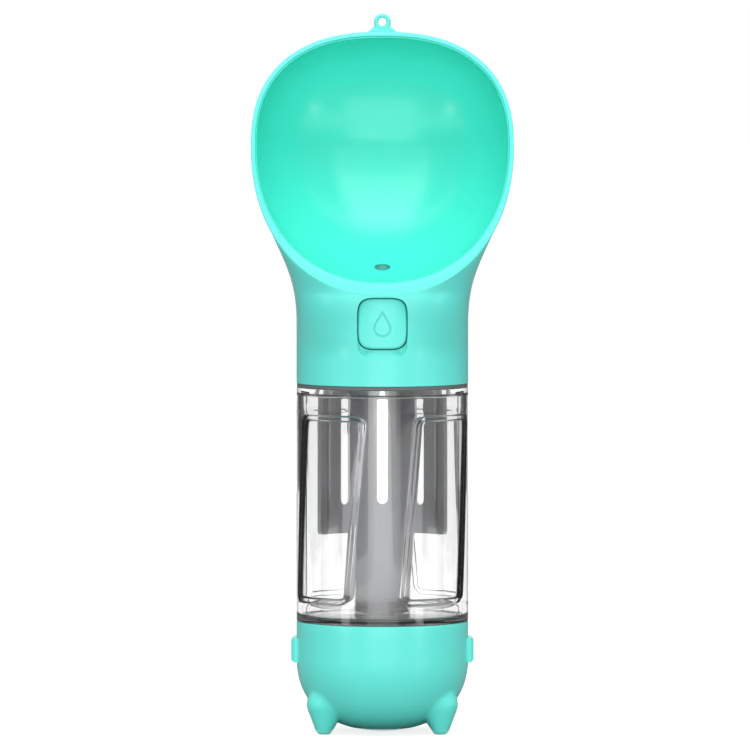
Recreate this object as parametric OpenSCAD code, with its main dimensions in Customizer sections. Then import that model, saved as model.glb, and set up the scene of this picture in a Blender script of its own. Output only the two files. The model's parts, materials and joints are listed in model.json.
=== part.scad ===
// Dog travel water bottle: a drinking bowl with a push-button valve on a clear tank,
// and a base with ear-shaped feet that holds a roll of bags and carries a scoop.
// Millimetres, +Z up. The origin is on the bottle's axis at the level of the feet.
// The bowl and the button face -Y.

/* [Body] */
// Outside diameter of neck, tank and base
body_d = 68.4; // [66:0.2:72]
// Air gap between pieces that lie on each other
seat_gap = 0.3; // [0.25:0.05:0.35]

/* [Base] */
// Height of the base cup's rim above the feet
base_h = 44.3; // [44:0.1:48]
// Wall of the base cup
base_wall = 2; // [1.8:0.1:2.2]
// Gap under the dome between the feet
dome_clear = 0.6; // [0.4:0.1:1.5]
// Distance of each foot from the middle, sideways
foot_x = 23; // [21:0.2:24]
// Distance of each foot from the middle, front to back
foot_y = 13.5; // [12:0.5:15]
// Radius of a foot's tip
foot_tip_r = 3.9; // [3.4:0.1:4.2]
// Radius of a foot where it meets the dome
foot_top_r = 7; // [6:0.1:7.4]
// Diameter of the bag roll
roll_d = 25; // [22:1:26]
// Length of the bag roll
roll_len = 39; // [34:1:40]
// Diameter of the roll's spindle
spindle_d = 8; // [7:0.5:9]

/* [Release buttons] */
// Width of a release button
release_w = 14; // [12:0.5:15]
// Height of a release button
release_h = 9.9; // [9:0.1:10]
// How far a release button stands out of the base
release_proud = 2.1; // [1.8:0.1:2.6]
// Travel of a release button
release_travel = 2.4; // [2.2:0.1:2.6]

/* [Scoop] */
// Gap round the scoop's blade where it slides through the tank's skirt
scoop_gap = 0.3; // [0.25:0.05:0.5]
// Thickness of blade and stem
scoop_t = 1.5; // [1.3:0.1:1.7]
// Half the angle that the blade spans
blade_half = 61; // [56:1:62]
// Half the angle that the stem spans
stem_half = 22.5; // [20:0.5:25]
// Height of the blade's lower edge above the base
blade_up = 33.3; // [30:0.1:40]
// Height of the slots' lower ends above the base
slot_up = 44.7; // [43:0.1:50]
// Width of a slot
slot_w = 4.4; // [3.6:0.2:5]
// Angle from one slot to the next
slot_step = 32; // [30:1:34]

/* [Tank] */
// Height of the clear tank
tank_h = 92.9; // [92:0.1:98]
// Wall of the clear tank
tank_wall = 1.9; // [1.7:0.1:2.1]
// Outside diameter of the tank's mouth
mouth_d = 58.8; // [58:0.2:59.2]
// Height of the tank's mouth
mouth_h = 12.2; // [12:0.1:12.4]
// Rise of the thread in one turn
thread_pitch = 3.2; // [3:0.1:3.3]
// Half the angle that a window spans
window_half = 28.5; // [25:0.5:30]
// How far a window leans over its height, as an angle
window_lean = 12; // [8:0.5:14]
// Depth of a window
window_depth = 0.7; // [0.5:0.05:0.8]
// Width of a window's bevelled border
window_border = 1.5; // [1:0.1:2]
// Radius of a window's corners
window_corner = 4.6; // [3:0.2:6]

/* [Head] */
// Thickness of the dark ring between head and tank
gasket_t = 1.7; // [1.4:0.1:2]
// Width of the bowl
bowl_w = 104; // [100:0.5:106]
// Height of the bowl's widest line above the neck's foot
bowl_up = 94.8; // [93:0.1:97]
// Height of the rim above its widest line
rim_up = 44.8; // [43:0.2:46]
// Depth of the rim below its widest line
rim_down = 59; // [58.5:0.1:59.5]
// How far the top of the rim leans back from its foot
rim_lean = 28; // [24:0.5:30]
// How far the rim's foot stands ahead of the neck
lip_out = 2; // [1:0.1:2.6]
// Depth of the bowl behind its rim
bowl_deep = 44; // [42:0.5:45]
// Wall of the head
shell_wall = 1.7; // [1.6:0.1:1.9]
// Thickness of the bowl liner
liner_wall = 1.2; // [1:0.1:1.4]
// Width of the rim's lip under the bowl
lip_foot = 5; // [4.6:0.1:5.4]
// Hole of the hanging loop
loop_hole_d = 3.2; // [3:0.1:3.6]
// Outside diameter of the hanging loop
loop_d = 6.8; // [6.4:0.1:7.4]
// Thickness of the hanging loop
loop_t = 3; // [2.6:0.1:3.4]
// Height of the hanging loop's hole above the rim
loop_up = 3.9; // [3.7:0.1:4]

/* [Water button] */
// Width of the water button
button_w = 19.2; // [18:0.2:20]
// Height of the water button
button_h = 20; // [19:0.2:20.4]
// Height of the water button's middle above the neck's foot
button_up = 24.8; // [24.4:0.1:25.2]
// Travel of the water button
button_travel = 3; // [2:0.2:3.4]
// Clearance round the water button
button_gap = 0.4; // [0.3:0.05:0.5]
// Width of the drop mark
drop_w = 7; // [5:0.5:8]

/* [Valve] */
// Radius of the valve barrel
barrel_r = 8; // [7.8:0.1:8.4]
// Bore radius of the valve barrel
chamber_r = 5.6; // [5.4:0.1:5.8]
// Radius of the hole in the valve seat
seat_r = 3.4; // [3.2:0.1:3.6]
// Radius of the valve stem
stem_r = 1.8; // [1.6:0.1:2]
// Radius of the outlet
outlet_r = 3.2; // [2.8:0.1:3.4]

/* [Hidden] */

teal = [0.38, 0.94, 0.89];
teal_deep = [0.24, 0.88, 0.78];
clear = [0.86, 0.88, 0.9, 0.4];
dark_grey = [0.42, 0.43, 0.45];
rubber_grey = [0.36, 0.38, 0.39];
inner_white = [0.88, 0.9, 0.9];
steel = [0.72, 0.73, 0.75];

$fn = 96;
fine = 0.01;
run_gap = 0.06;
body_r = body_d / 2;

// Base
dome_mid_z = base_h - 14.3;
dome_n = 2.3;
cup_r = body_r - base_wall;
foot_flat = 0.6;
foot_top_z = 12;
release_z = base_h - 11.35;
release_flange = 1.3;
flange_edge = 0.7;
flange_x = cup_r - 1.5 - seat_gap;
skirt_t = 1.5;
skirt_r = cup_r - 0.4;
skirt_in = skirt_r - skirt_t;
skirt_drop = 5.7;
hook_in = skirt_in - 3;
hook_t = 1.6;
hook_half_w = 4;
hook_h = 1.4;
hook_z = base_h - 4.4;
hook_reach = skirt_in + 1.1;
holder_wall = 1.6;
holder_x = cup_r - 10.6;
holder_end_y = roll_len / 2 + 1;
holder_end_t = 2.2;
holder_top = base_h - 1.6;
holder_plate = 1.4;
holder_r = skirt_in - 0.6;
spindle_z = 22.4;
spindle_r = spindle_d / 2;
post_x = 17.5;
post_y = 17.5;
post_r = 3.2;
lug_z = 25;
lug_t = 2.4;
screw_r = 1.25;
screw_play = 0.2;
holder_screw_len = 9;
scoop_screw_len = 4.4;
valve_screw_len = 8;
pad_gap = 0.35;
bag_slot_w = 26;
bag_slot_d = 5;
core_wall = 1.2;
screw_head_r = 2.4;
screw_head_h = 1.6;

// Scoop
disc_t = 1.6;
disc_z = holder_top + seat_gap - 0.2;
disc_r = skirt_in - 0.4;
scoop_r = skirt_in - scoop_gap;
scoop_in = scoop_r - scoop_t;
blade_z = base_h + blade_up;
slot_z = base_h + slot_up;

// Tank
tank_z = base_h + seat_gap;
tank_top = tank_z + tank_h;
tank_in = body_r - tank_wall;
tank_floor_z = disc_z + disc_t + seat_gap;
tank_floor_t = 1.8;
shoulder_t = 2;
mouth_r = mouth_d / 2;
mouth_in = mouth_r - 2;
mouth_top = tank_top + mouth_h;
thread_z = tank_top + 4.2;
thread_out = 0.55;
thread_half = 0.9;
pocket_gap = 0.6;
pocket_in = scoop_in - pocket_gap;
pocket_wall = 1.2;
pocket_half = blade_half + 2;
pocket_side = 2.2;
pocket_top = tank_top - shoulder_t;
blade_top = pocket_top - 1;
slot_top = blade_top - 1.4;
window_low = tank_z + 7.6;
window_high = tank_top - 9.9;

// Head
gasket_z = tank_top;
neck_z = tank_top + gasket_t;
neck_r = body_r;
neck_in = neck_r - 2.4;
collar_r = mouth_r + 0.9;
deck_step = mouth_top + 0.8;
deck_z = deck_step + seat_gap;
deck_t = 2.5;
deck_top = deck_z + deck_t;
bowl_mid_z = neck_z + bowl_up;
rim_foot_z = bowl_mid_z - rim_down;
rim_top_z = bowl_mid_z + rim_up;
neck_top = rim_foot_z + 0.5;
flare_z = neck_top - 13;
front_flare_z = neck_top - 15;
square_z = neck_top - 26;
bowl_half = bowl_w / 2;

// Valve
button_z = neck_z + button_up;
seat_y = 1.5;
seat_t = 1.5;
barrel_front = 21.2 - body_r;
barrel_back = 15;
gland_t = 2.4;
inlet_y = 9;
inlet_r = 3.4;
outlet_y = -8;
button_back_y = 4.9 - body_r;
button_flange_t = 1.2;
button_lean = 3.5;
button_front_r = body_r;
stem_front_y = button_back_y + button_flange_t + 0.6;
seal_t = 1.5;
seal_y = seat_y + seat_t + 0.1;
stem_end_y = seal_y + seal_t + 1;
spring_start = button_back_y + button_flange_t + 0.3;
spring_end = barrel_front - 0.3;
screw_spots = [[-22, 9], [22, 9], [0, 24]];

// ---------- shared shapes ----------

// A bar of a ring: from r_in to r_out, from z_low up by h, spanning half degrees each side of the back
module ring_sector(r_in, r_out, z_low, h, half) {
    translate([0, 0, z_low]) rotate([0, 0, 90 - half])
        rotate_extrude(angle = 2 * half) translate([r_in, 0]) square([r_out - r_in, h]);
}

module tube(r_out, r_in, z_low, h) {
    translate([0, 0, z_low]) rotate_extrude() translate([r_in, 0]) square([r_out - r_in, h]);
}

// A round bar along Y
module bar_y(r, y_low, len) {
    translate([0, y_low, 0]) rotate([-90, 0, 0]) cylinder(r = r, h = len);
}

// Points of a parallelogram with round corners, leaning by lean over its height
function lean_outline(half_w, low, high, lean, corner, steps) = [
    for (c = [[1, 1, 0], [-1, 1, 90], [-1, -1, 180], [1, -1, 270]])
        for (i = [0 : steps])
            let (a = c[2] + 90 * i / steps,
                 v = (c[1] > 0 ? high - corner : low + corner) + corner * sin(a),
                 u = c[0] * (half_w - corner) + corner * cos(a))
            [u + lean * ((v - low) / (high - low) - 0.5), v]];

// Points of a rounded square
function squircle(w, h, n, steps) = [
    for (i = [0 : steps - 1])
        let (a = 360 * i / steps)
        [w / 2 * sign(cos(a)) * pow(abs(cos(a)), 2 / n), h / 2 * sign(sin(a)) * pow(abs(sin(a)), 2 / n)]];

// Faces of a stack of rings with the same number of points, closed at both ends
function stack_faces(rings, count) = concat(
    [[for (j = [0 : count - 1]) j]],
    [for (i = [0 : rings - 2]) for (j = [0 : count - 1])
        let (k = (j + 1) % count, a = i * count, b = a + count)
        each [[a + j, b + k, a + k], [a + j, b + j, b + k]]],
    [[for (j = [count - 1 : -1 : 0]) (rings - 1) * count + j]]);

module stack(rings) {
    polyhedron([for (ring = rings) each ring], stack_faces(len(rings), len(rings[0])), convexity = 8);
}

function smooth(u) = let (c = max(0, min(1, u))) 0.7 * c * c * c * (c * (6 * c - 15) + 10)
    + 0.3 * c * c * (3 - 2 * c);

// A coil spring about Z from z = 0 to len, with its ends ground flat by the caller's gap
function coil_point(r, len, turns, t) = [r * cos(360 * turns * t), r * sin(360 * turns * t), len * t];
function coil_rings(r, wire, len, turns, steps) = [
    for (i = [0 : steps])
        let (t = i / steps, p = coil_point(r, len - 2 * wire, turns, t), a = 360 * turns * t)
        [for (j = [0 : 5])
            let (b = -60 * j, q = r + wire * cos(b))
            [q * cos(a), q * sin(a), p[2] + wire + wire * sin(b)]]];

module coil(r, wire, len, turns) {
    steps = ceil(turns * 16);
    stack(coil_rings(r, wire, len, turns, steps));
}

function coil_gap(wire, len, turns) = (len - 2 * wire) / turns - 2 * wire;

// ---------- base ----------

function dome_points(r, low) = [
    for (i = [0 : 28])
        let (a = 90 * i / 28)
        [r * pow(sin(a), 2 / dome_n), dome_mid_z - (dome_mid_z - low) * pow(cos(a), 2 / dome_n)]];

module dome_solid(r, low, top) {
    rotate_extrude() polygon(concat(dome_points(r, low), [[r, top], [0, top]]));
}

// Ear-shaped foot: a round cone between a small ball below and a larger one in the dome
module foot() {
    tip_z = foot_tip_r - foot_flat;
    slope = asin((foot_top_r - foot_tip_r) / (foot_top_z - tip_z));
    translate([foot_x, foot_y, 0]) rotate_extrude() polygon(concat(
        [for (i = [0 : 8]) let (a = -90 + (90 - slope) * i / 8)
            [foot_tip_r * cos(a), tip_z + foot_tip_r * sin(a)]],
        [for (i = [0 : 12]) let (a = -slope + (90 + slope) * i / 12)
            [foot_top_r * cos(a), foot_top_z + foot_top_r * sin(a)]]));
}

module release_window(grow) {
    translate([0, -release_w / 2 - grow, release_z - release_h / 2 - grow])
        cube([body_d, release_w + 2 * grow, release_h + 2 * grow]);
}

module base_cup() {
    color(teal) difference() {
        union() {
            difference() {
                union() {
                    dome_solid(body_r, dome_clear, base_h);
                    intersection() {
                        for (sx = [0, 1], sy = [0, 1]) mirror([sx, 0, 0]) mirror([0, sy, 0]) foot();
                        cylinder(r = body_r - 0.6, h = base_h / 2);
                    }
                }
                dome_solid(cup_r, dome_clear + base_wall, base_h + 1);
            }
            // posts that the bag holder stands on
            intersection() {
                for (sx = [-1, 1], sy = [-1, 1])
                    translate([sx * post_x, sy * post_y, base_wall])
                        cylinder(r = post_r, h = lug_z - seat_gap - base_wall);
                dome_solid(cup_r + base_wall / 2, dome_clear + base_wall / 2, base_h);
            }
        }
        for (sx = [-1, 1], sy = [-1, 1])
            translate([sx * post_x, sy * post_y, lug_z - holder_screw_len])
                cylinder(r = screw_r, h = holder_screw_len + 1);
        release_window(pad_gap);
        mirror([1, 0, 0]) release_window(pad_gap);
        // slot that the bags are drawn through
        translate([0, 0, -1]) linear_extrude(base_wall + 6)
            polygon(squircle(bag_slot_w, bag_slot_d, 4, 32));
    }
}

module bag_holder_form() {
    // end walls that carry the spindle
    for (sy = [-1, 1]) translate([0, sy * (holder_end_y + holder_end_t / 2), 0]) {
        translate([-holder_x, -holder_end_t / 2, lug_z])
            cube([2 * holder_x, holder_end_t, holder_top - lug_z]);
        translate([0, holder_end_t / 2, spindle_z]) rotate([90, 0, 0])
            cylinder(r = spindle_r + 3, h = holder_end_t);
        translate([-spindle_r - 3, -holder_end_t / 2, spindle_z])
            cube([2 * spindle_r + 6, holder_end_t, lug_z - spindle_z + 1]);
    }
    // side walls that the release springs bear on
    for (sx = [-1, 1]) translate([sx * (holder_x - holder_wall / 2), 0, lug_z])
        translate([-holder_wall / 2, -holder_end_y - 1, 0])
            cube([holder_wall, 2 * holder_end_y + 2, holder_top - lug_z]);
    // lugs over the posts
    intersection() {
        for (sx = [-1, 1], sy = [-1, 1]) translate([sx * post_x, sy * post_y, lug_z])
            cylinder(r = post_r + 1, h = lug_t);
        translate([-holder_x, -holder_end_y - 1, lug_z])
            cube([2 * holder_x, 2 * holder_end_y + 2, lug_t + 1]);
    }
    // top plate that the scoop's disc lies on
    difference() {
        translate([0, 0, holder_top - holder_plate]) cylinder(r = holder_r, h = holder_plate);
        translate([-post_x + 4, -holder_end_y, holder_top - 2])
            cube([2 * (post_x - 4), 2 * holder_end_y, 3]);
        for (sx = [-1, 1]) translate([sx * (hook_in + 6), 0, holder_top - 1])
            cube([18, 2 * hook_half_w + 4, 4], center = true);
    }
}

module bag_holder() {
    bore_len = 2 * (holder_end_y + holder_end_t) + 2;
    color(inner_white) difference() {
        intersection() {
            bag_holder_form();
            cylinder(r = holder_r, h = base_h);
        }
        translate([0, 0, spindle_z]) bar_y(spindle_r + run_gap, -bore_len / 2, bore_len);
        for (sx = [-1, 1], sy = [-1, 1]) translate([sx * post_x, sy * post_y, lug_z - 1])
            cylinder(r = screw_r + screw_play, h = 5);
        for (sx = [-1, 1], sy = [-1, 1]) translate([sx * post_x, sy * post_y, holder_top - holder_plate - 1])
            cylinder(r = screw_r, h = 5);
    }
}

module bag_spindle() {
    len = 2 * (holder_end_y + holder_end_t) - 0.6;
    color(inner_white) translate([0, 0, spindle_z]) bar_y(spindle_r, -len / 2, len);
}

module bag_core() {
    color([0.74, 0.6, 0.44]) translate([0, roll_len / 2 + 0.4, spindle_z]) rotate([90, 0, 0])
        tube(spindle_r + core_wall, spindle_r + 0.08, 0, roll_len + 0.8);
}

module bag_roll() {
    color([0.2, 0.22, 0.24]) translate([0, roll_len / 2, spindle_z]) rotate([90, 0, 0])
        tube(roll_d / 2, spindle_r + core_wall + 0.05, 0, roll_len);
}

// A pan-head screw that points down, its head's underside at the origin
module screw(len) {
    translate([0, 0, -len]) cylinder(r = screw_r - 0.05, h = len + fine);
    difference() {
        cylinder(r1 = screw_head_r, r2 = screw_head_r - 0.4, h = screw_head_h);
        for (turn = [0, 90]) rotate([0, 0, turn]) translate([0, 0, screw_head_h])
            cube([2.8, 0.6, 1.4], center = true);
    }
}

module holder_screws() {
    color(steel) for (sx = [-1, 1], sy = [-1, 1])
        translate([sx * post_x, sy * post_y, lug_z + lug_t + 0.05]) screw(holder_screw_len);
}

// ---------- scoop ----------

module round_slot(turn) {
    rotate([0, 0, turn]) translate([0, scoop_r, 0]) rotate([90, 0, 0]) {
        translate([-slot_w / 2, slot_z + slot_w / 2, -3]) cube([slot_w, slot_top - slot_z - slot_w, 9]);
        for (z = [slot_z + slot_w / 2, slot_top - slot_w / 2])
            translate([0, z, -3]) cylinder(r = slot_w / 2, h = 9);
    }
}

// curved sheet of the scoop: the blade with the stem below it
module scoop_sheet() {
    foot_z = disc_z + disc_t / 2;
    step_z = disc_z + disc_t + seat_gap + 0.1;
    reach = 2 * scoop_r;
    difference() {
        ring_sector(scoop_in, scoop_r, foot_z, blade_top - foot_z, blade_half);
        for (side = [-1, 1]) translate([0, 0, foot_z - 1]) linear_extrude(blade_z - foot_z + 1)
            polygon([[0, 0], [side * reach * sin(stem_half), reach * cos(stem_half)],
                     [side * reach * sin(blade_half + 8), reach * cos(blade_half + 8)]]);
        // the stem's foot stands on the disc, inside the tank's skirt
        tube(reach, disc_r - 0.1, foot_z - 1, step_z - foot_z + 1);
    }
}

module scoop() {
    color(dark_grey) difference() {
        union() {
            translate([0, 0, disc_z]) cylinder(r = disc_r, h = disc_t);
            scoop_sheet();
        }
        for (turn = [-slot_step, 0, slot_step]) round_slot(turn);
        for (sx = [-1, 1], sy = [-1, 1]) translate([sx * post_x, sy * post_y, disc_z]) {
            translate([0, 0, -1]) cylinder(r = screw_r + screw_play, h = 4);
            translate([0, 0, 0.9]) cylinder(r = screw_head_r + 0.2, h = 4);
        }
    }
}

module scoop_screws() {
    color(steel) for (sx = [-1, 1], sy = [-1, 1])
        translate([sx * post_x, sy * post_y, disc_z + 0.95]) intersection() {
            screw(scoop_screw_len);
            translate([0, 0, -10]) cylinder(r = 5, h = 10 + 0.6);
        }
}

// ---------- release buttons ----------

// The right-hand button; the left one is its mirror image
module release_button_form() {
    out_x = body_r + release_proud;
    pad_x = out_x - flange_x;
    bevel = 1.1;
    difference() {
        union() {
            // pad with bevelled edges
            translate([flange_x, 0, release_z]) rotate([90, 0, 0]) translate([0, 0, -release_w / 2])
                linear_extrude(release_w) polygon([
                    [-fine, -release_h / 2], [pad_x - bevel, -release_h / 2],
                    [pad_x, -release_h / 2 + bevel], [pad_x, release_h / 2 - bevel],
                    [pad_x - bevel, release_h / 2], [-fine, release_h / 2]]);
            // flange that keeps it in the base
            translate([flange_x - release_flange, -release_w / 2 - flange_edge,
                       release_z - release_h / 2 - flange_edge])
                cube([release_flange, release_w + 2 * flange_edge, release_h + 2 * flange_edge - 0.9]);
            // finger and hook
            translate([hook_in, -hook_half_w, release_z - 3])
                cube([hook_t, 2 * hook_half_w, hook_z + hook_h - release_z + 3]);
            translate([hook_in, -hook_half_w, release_z - 3])
                cube([flange_x - hook_in, 2 * hook_half_w, 6]);
            translate([hook_in, -hook_half_w, hook_z])
                cube([hook_reach - hook_in, 2 * hook_half_w, hook_h]);
        }
        for (sy = [-1, 1]) translate([out_x, sy * release_w / 2, release_z])
            rotate([0, 0, 45]) cube([bevel * sqrt(2), bevel * sqrt(2), 30], center = true);
    }
}

module release_button_right() {
    color(teal) release_button_form();
}

module release_button_left() {
    color(teal) mirror([1, 0, 0]) release_button_form();
}

release_spring_len = hook_in - holder_x - 2 * seat_gap;
release_spring_turns = 4;
release_wire = 0.3;
release_coil_r = 2.3;

module release_spring_right() {
    color(steel) translate([holder_x + seat_gap, 0, release_z - 0.4]) rotate([0, 90, 0])
        coil(release_coil_r, release_wire, release_spring_len, release_spring_turns);
}

module release_spring_left() {
    color(steel) mirror([1, 0, 0]) translate([holder_x + seat_gap, 0, release_z - 0.4])
        rotate([0, 90, 0]) coil(release_coil_r, release_wire, release_spring_len, release_spring_turns);
}

// ---------- tank ----------

// The cutter of one window at depth d: a leaning outline pushed through the front wall
module window_cut(inset, d) {
    half_w = (body_r * sin(window_half)) - inset;
    lean = 2 * body_r * sin(window_lean / 2);
    intersection() {
        rotate([90, 0, 0]) linear_extrude(body_d)
            polygon(lean_outline(half_w, window_low + inset, window_high - inset, lean,
                                 window_corner - inset / 2, 5));
        tube(body_r + 2, body_r - d, tank_z, tank_h);
    }
}

module tank() {
    color(clear) difference() {
        union() {
            tube(body_r, tank_in, tank_z, tank_h);
            // floor, skirt and shoulder
            translate([0, 0, tank_floor_z]) cylinder(r = tank_in + fine, h = tank_floor_t);
            tube(tank_in + fine, skirt_in, tank_z, tank_floor_z + tank_floor_t - tank_z);
            tube(skirt_r, skirt_in, tank_z - skirt_drop, skirt_drop + 1);
            tube(tank_in + fine, mouth_in, tank_top - shoulder_t, shoulder_t);
            tube(mouth_r, mouth_in, tank_top - shoulder_t, mouth_h + shoulder_t);
            for (i = [0 : 2]) translate([0, 0, thread_z + thread_pitch * i])
                rotate_extrude() polygon([
                    [mouth_r - fine, -thread_half], [mouth_r + thread_out, -thread_half / 3],
                    [mouth_r + thread_out, thread_half / 3], [mouth_r - fine, thread_half]]);
            // dry pocket for the scoop
            ring_sector(pocket_in - pocket_wall, tank_in + fine, tank_floor_z,
                        pocket_top + pocket_wall - tank_floor_z, pocket_half + pocket_side);
        }
        ring_sector(pocket_in, tank_in, tank_floor_z - 3, pocket_top - tank_floor_z + 3, pocket_half);
        for (turn = [45, 135, 225, 315]) rotate([0, 0, turn]) {
            window_cut(0, window_depth / 2);
            window_cut(window_border, window_depth);
        }
        for (sx = [0, 1]) mirror([sx, 0, 0])
            translate([skirt_in - 2, -hook_half_w - 1, hook_z - 0.35])
                cube([4 + skirt_t, 2 * hook_half_w + 2, hook_h + 0.7]);
    }
}

module rim_gasket() {
    color(rubber_grey) tube(body_r - 0.2, mouth_r + 0.9, gasket_z + 0.05, gasket_t - 0.1);
}

module neck_seal() {
    color(rubber_grey) tube(mouth_r - 0.1, mouth_in + 0.1, mouth_top + 0.1, deck_z - mouth_top - 0.2);
}

// ---------- head ----------

function rim_y(z) = -body_r - lip_out + rim_lean * (z - rim_foot_z) / (rim_top_z - rim_foot_z);

// Half width of the rim outline, drawn in by inset at height z
function rim_x(z, side, up, down) =
    let (u = (z - bowl_mid_z) / (z > bowl_mid_z ? up : down), n = z > bowl_mid_z ? 2.4 : 2.15)
    side * pow(max(0, 1 - pow(abs(u), n)), 1 / n);

function outer_w(z) = z > bowl_mid_z ? rim_x(z, bowl_half, rim_up, rim_down)
    : body_r + (bowl_half - body_r) * smooth((z - flare_z) / (bowl_mid_z - flare_z));

shell_deep = bowl_deep + shell_wall + liner_wall + seat_gap + 1;

// Fall of a back wall from its place at the widest line to the top, where u runs from 0 to 1
function back_fall(u) = pow(max(0, 1 - pow(u, 2.4)), 1 / 2);

function outer_back(z) =
    let (mid_back = rim_y(bowl_mid_z) + shell_deep, top_y = rim_y(rim_top_z))
    z > bowl_mid_z ? top_y + (mid_back - top_y) * back_fall((z - bowl_mid_z) / rim_up)
        : body_r + (mid_back - body_r) * smooth((z - flare_z) / (bowl_mid_z - flare_z));

// Depth at which the section is widest: on the axis in the neck, at the rim in the bowl
function outer_mid(z) = rim_y(z) * smooth((z - neck_top + 4) / (bowl_mid_z - neck_top - 24));

half_steps = 20;
side_steps = 9;
liner_step = 0.4;
cut_margin = 2;

// How far the section reaches ahead of its widest place: a flare under the rim, and in the bowl
// as much as makes the rim's plane cut it at the rim's outline
function outer_ahead(z, w, mid, n) =
    let (run = mid - rim_y(z),
         narrow = pow(max(0, 1 - pow(min(1, rim_x(z, bowl_half, rim_up, rim_down) / w), n)), 1 / n))
    z < rim_foot_z
        ? mid + body_r + lip_out * pow(max(0, z - front_flare_z) / (rim_foot_z - front_flare_z), 2)
        : max(min(run / max(narrow, 0.05), run + 12), cut_margin);

// One level of the head's outside, starting in front and going round by the right
function outer_ring(z) =
    let (w = outer_w(z), mid = outer_mid(z), back = outer_back(z),
         n = 2 + 1.3 * smooth((z - square_z) / (rim_foot_z - square_z)),
         m = 2 + 0.25 * smooth((z - neck_top) / 50),
         ahead = outer_ahead(z, w, mid, n))
    concat(
        [for (i = [0 : side_steps])
            let (a = 90 * (i + 0.5) / (side_steps + 0.5))
            [w * pow(sin(a), 2 / n), mid - ahead * pow(cos(a), 2 / n), z]],
        [for (i = [1 : half_steps - 1])
            let (a = 180 * i / half_steps)
            [w * sign(cos(a)) * pow(abs(cos(a)), 2 / m), mid + (back - mid) * pow(sin(a), 2 / m), z]],
        [for (i = [side_steps : -1 : 0])
            let (a = 90 * (i + 0.5) / (side_steps + 0.5))
            [-w * pow(sin(a), 2 / n), mid - ahead * pow(cos(a), 2 / n), z]]);

// One level of the bowl's hollow, grown by grow all round
function bowl_ring(z, grow) =
    let (up = rim_up - shell_wall - seat_gap - liner_wall + grow,
         down = rim_down - lip_foot - seat_gap - liner_wall + grow,
         side = bowl_half - shell_wall - seat_gap - liner_wall + grow,
         w = rim_x(z, side, up, down),
         mid_back = rim_y(bowl_mid_z) + bowl_deep + grow,
         top_y = rim_y(bowl_mid_z + up),
         deep = z > bowl_mid_z
             ? max(0.1, top_y + (mid_back - top_y) * back_fall((z - bowl_mid_z) / up) - rim_y(z))
             : (bowl_deep + grow) * pow(max(0, 1 - pow((bowl_mid_z - z) / down, 3.5)), 1 / 2.2),
         side_run = min(1.3, deep / 2),
         ahead = rim_y(z) - 3)
    concat(
        [[w, ahead, z]],
        [for (i = [0 : half_steps])
            let (a = 180 * i / half_steps)
            [w * sign(cos(a)) * pow(abs(cos(a)), 2 / 2.3),
             rim_y(z) + side_run + (deep - side_run) * pow(sin(a), 2 / 2.3), z]],
        [[-w, ahead, z]]);

// Heights between low and high, closer together at both ends
function levels(low, high, count) = [for (i = [0 : count])
    low + (high - low) * (0.5 - 0.5 * cos(180 * i / count))];

module bowl_hollow(grow) {
    low = bowl_mid_z - rim_down + lip_foot + seat_gap + liner_wall - grow;
    high = rim_top_z - shell_wall - seat_gap - liner_wall + grow;
    stack([for (z = levels(low + 0.02, high - 0.02, 22)) bowl_ring(z, grow)]);
}

// Everything ahead of the rim's front plane, set back by step
module ahead_of_rim(step) {
    lean_angle = atan2(rim_lean, rim_top_z - rim_foot_z);
    translate([0, -body_r - lip_out, rim_foot_z]) rotate([-lean_angle, 0, 0])
        translate([-80, step - 60, -60]) cube([160, 60, 220]);
}

module head_outside() {
    low_levels = [for (i = [0 : 9]) square_z + (rim_foot_z - square_z) * i / 10];
    rim_levels = levels(rim_foot_z + 0.02, rim_top_z - 0.02, 28);
    difference() {
        stack([for (z = concat([neck_z], low_levels, rim_levels)) outer_ring(z)]);
        ahead_of_rim(0);
    }
}

loop_z = rim_top_z + loop_up;
loop_y = rim_y(rim_top_z) + loop_t / 2 + 0.6;
loop_root = 6;
loop_root_h = 2.4;

// Outline of the loop's root, which flares down into the rim
function loop_side(side) = [
    for (i = [0 : 6])
        let (u = i / 6)
        [side * (loop_d / 2 - 0.05 + (loop_root - loop_d / 2) * pow(1 - u, 1.6)),
            rim_top_z + loop_root_h * u]];

module hanging_loop() {
    translate([0, loop_y + loop_t / 2, 0]) rotate([90, 0, 0]) linear_extrude(loop_t) {
        translate([0, loop_z]) circle(r = loop_d / 2);
        polygon(concat([[loop_root, rim_top_z - 1.2]], loop_side(1), [[loop_d / 2 - 0.05, loop_z - 0.4],
            [0.05 - loop_d / 2, loop_z - 0.4]], [for (i = [6 : -1 : 0]) loop_side(-1)[i]],
            [[-loop_root, rim_top_z - 1.2]]));
    }
}

module head_shell() {
    color(teal) difference() {
        union() {
            difference() {
                union() {
                    head_outside();
                    hanging_loop();
                }
                bowl_hollow(liner_wall + seat_gap);
                translate([0, 0, neck_z - 1]) cylinder(r = collar_r, h = deck_step - neck_z + 1);
                translate([0, 0, deck_step]) cylinder(r = neck_in, h = neck_top - deck_step);
            }
            for (spot = screw_spots) translate([spot[0], spot[1], deck_top + 0.2])
                cylinder(r = 3, h = neck_top - deck_top + 0.5);
        }
        for (spot = screw_spots) translate([spot[0], spot[1], deck_top - 1])
            cylinder(r = screw_r, h = 10);
        // water button's hole
        translate([0, 14.2 - body_r, button_z]) rotate([90, 0, 0]) linear_extrude(body_r)
            polygon(squircle(button_w + 2 * button_gap, button_h + 2 * button_gap, 4.2, 48));
        // way up to the bowl for the outlet tube
        translate([0, outlet_y, neck_top - 1]) cylinder(r = outlet_r + 2, h = 16);
        translate([0, loop_y + loop_t / 2 + 1, loop_z]) rotate([90, 0, 0])
            cylinder(r = loop_hole_d / 2, h = loop_t + 2);
    }
}

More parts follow.
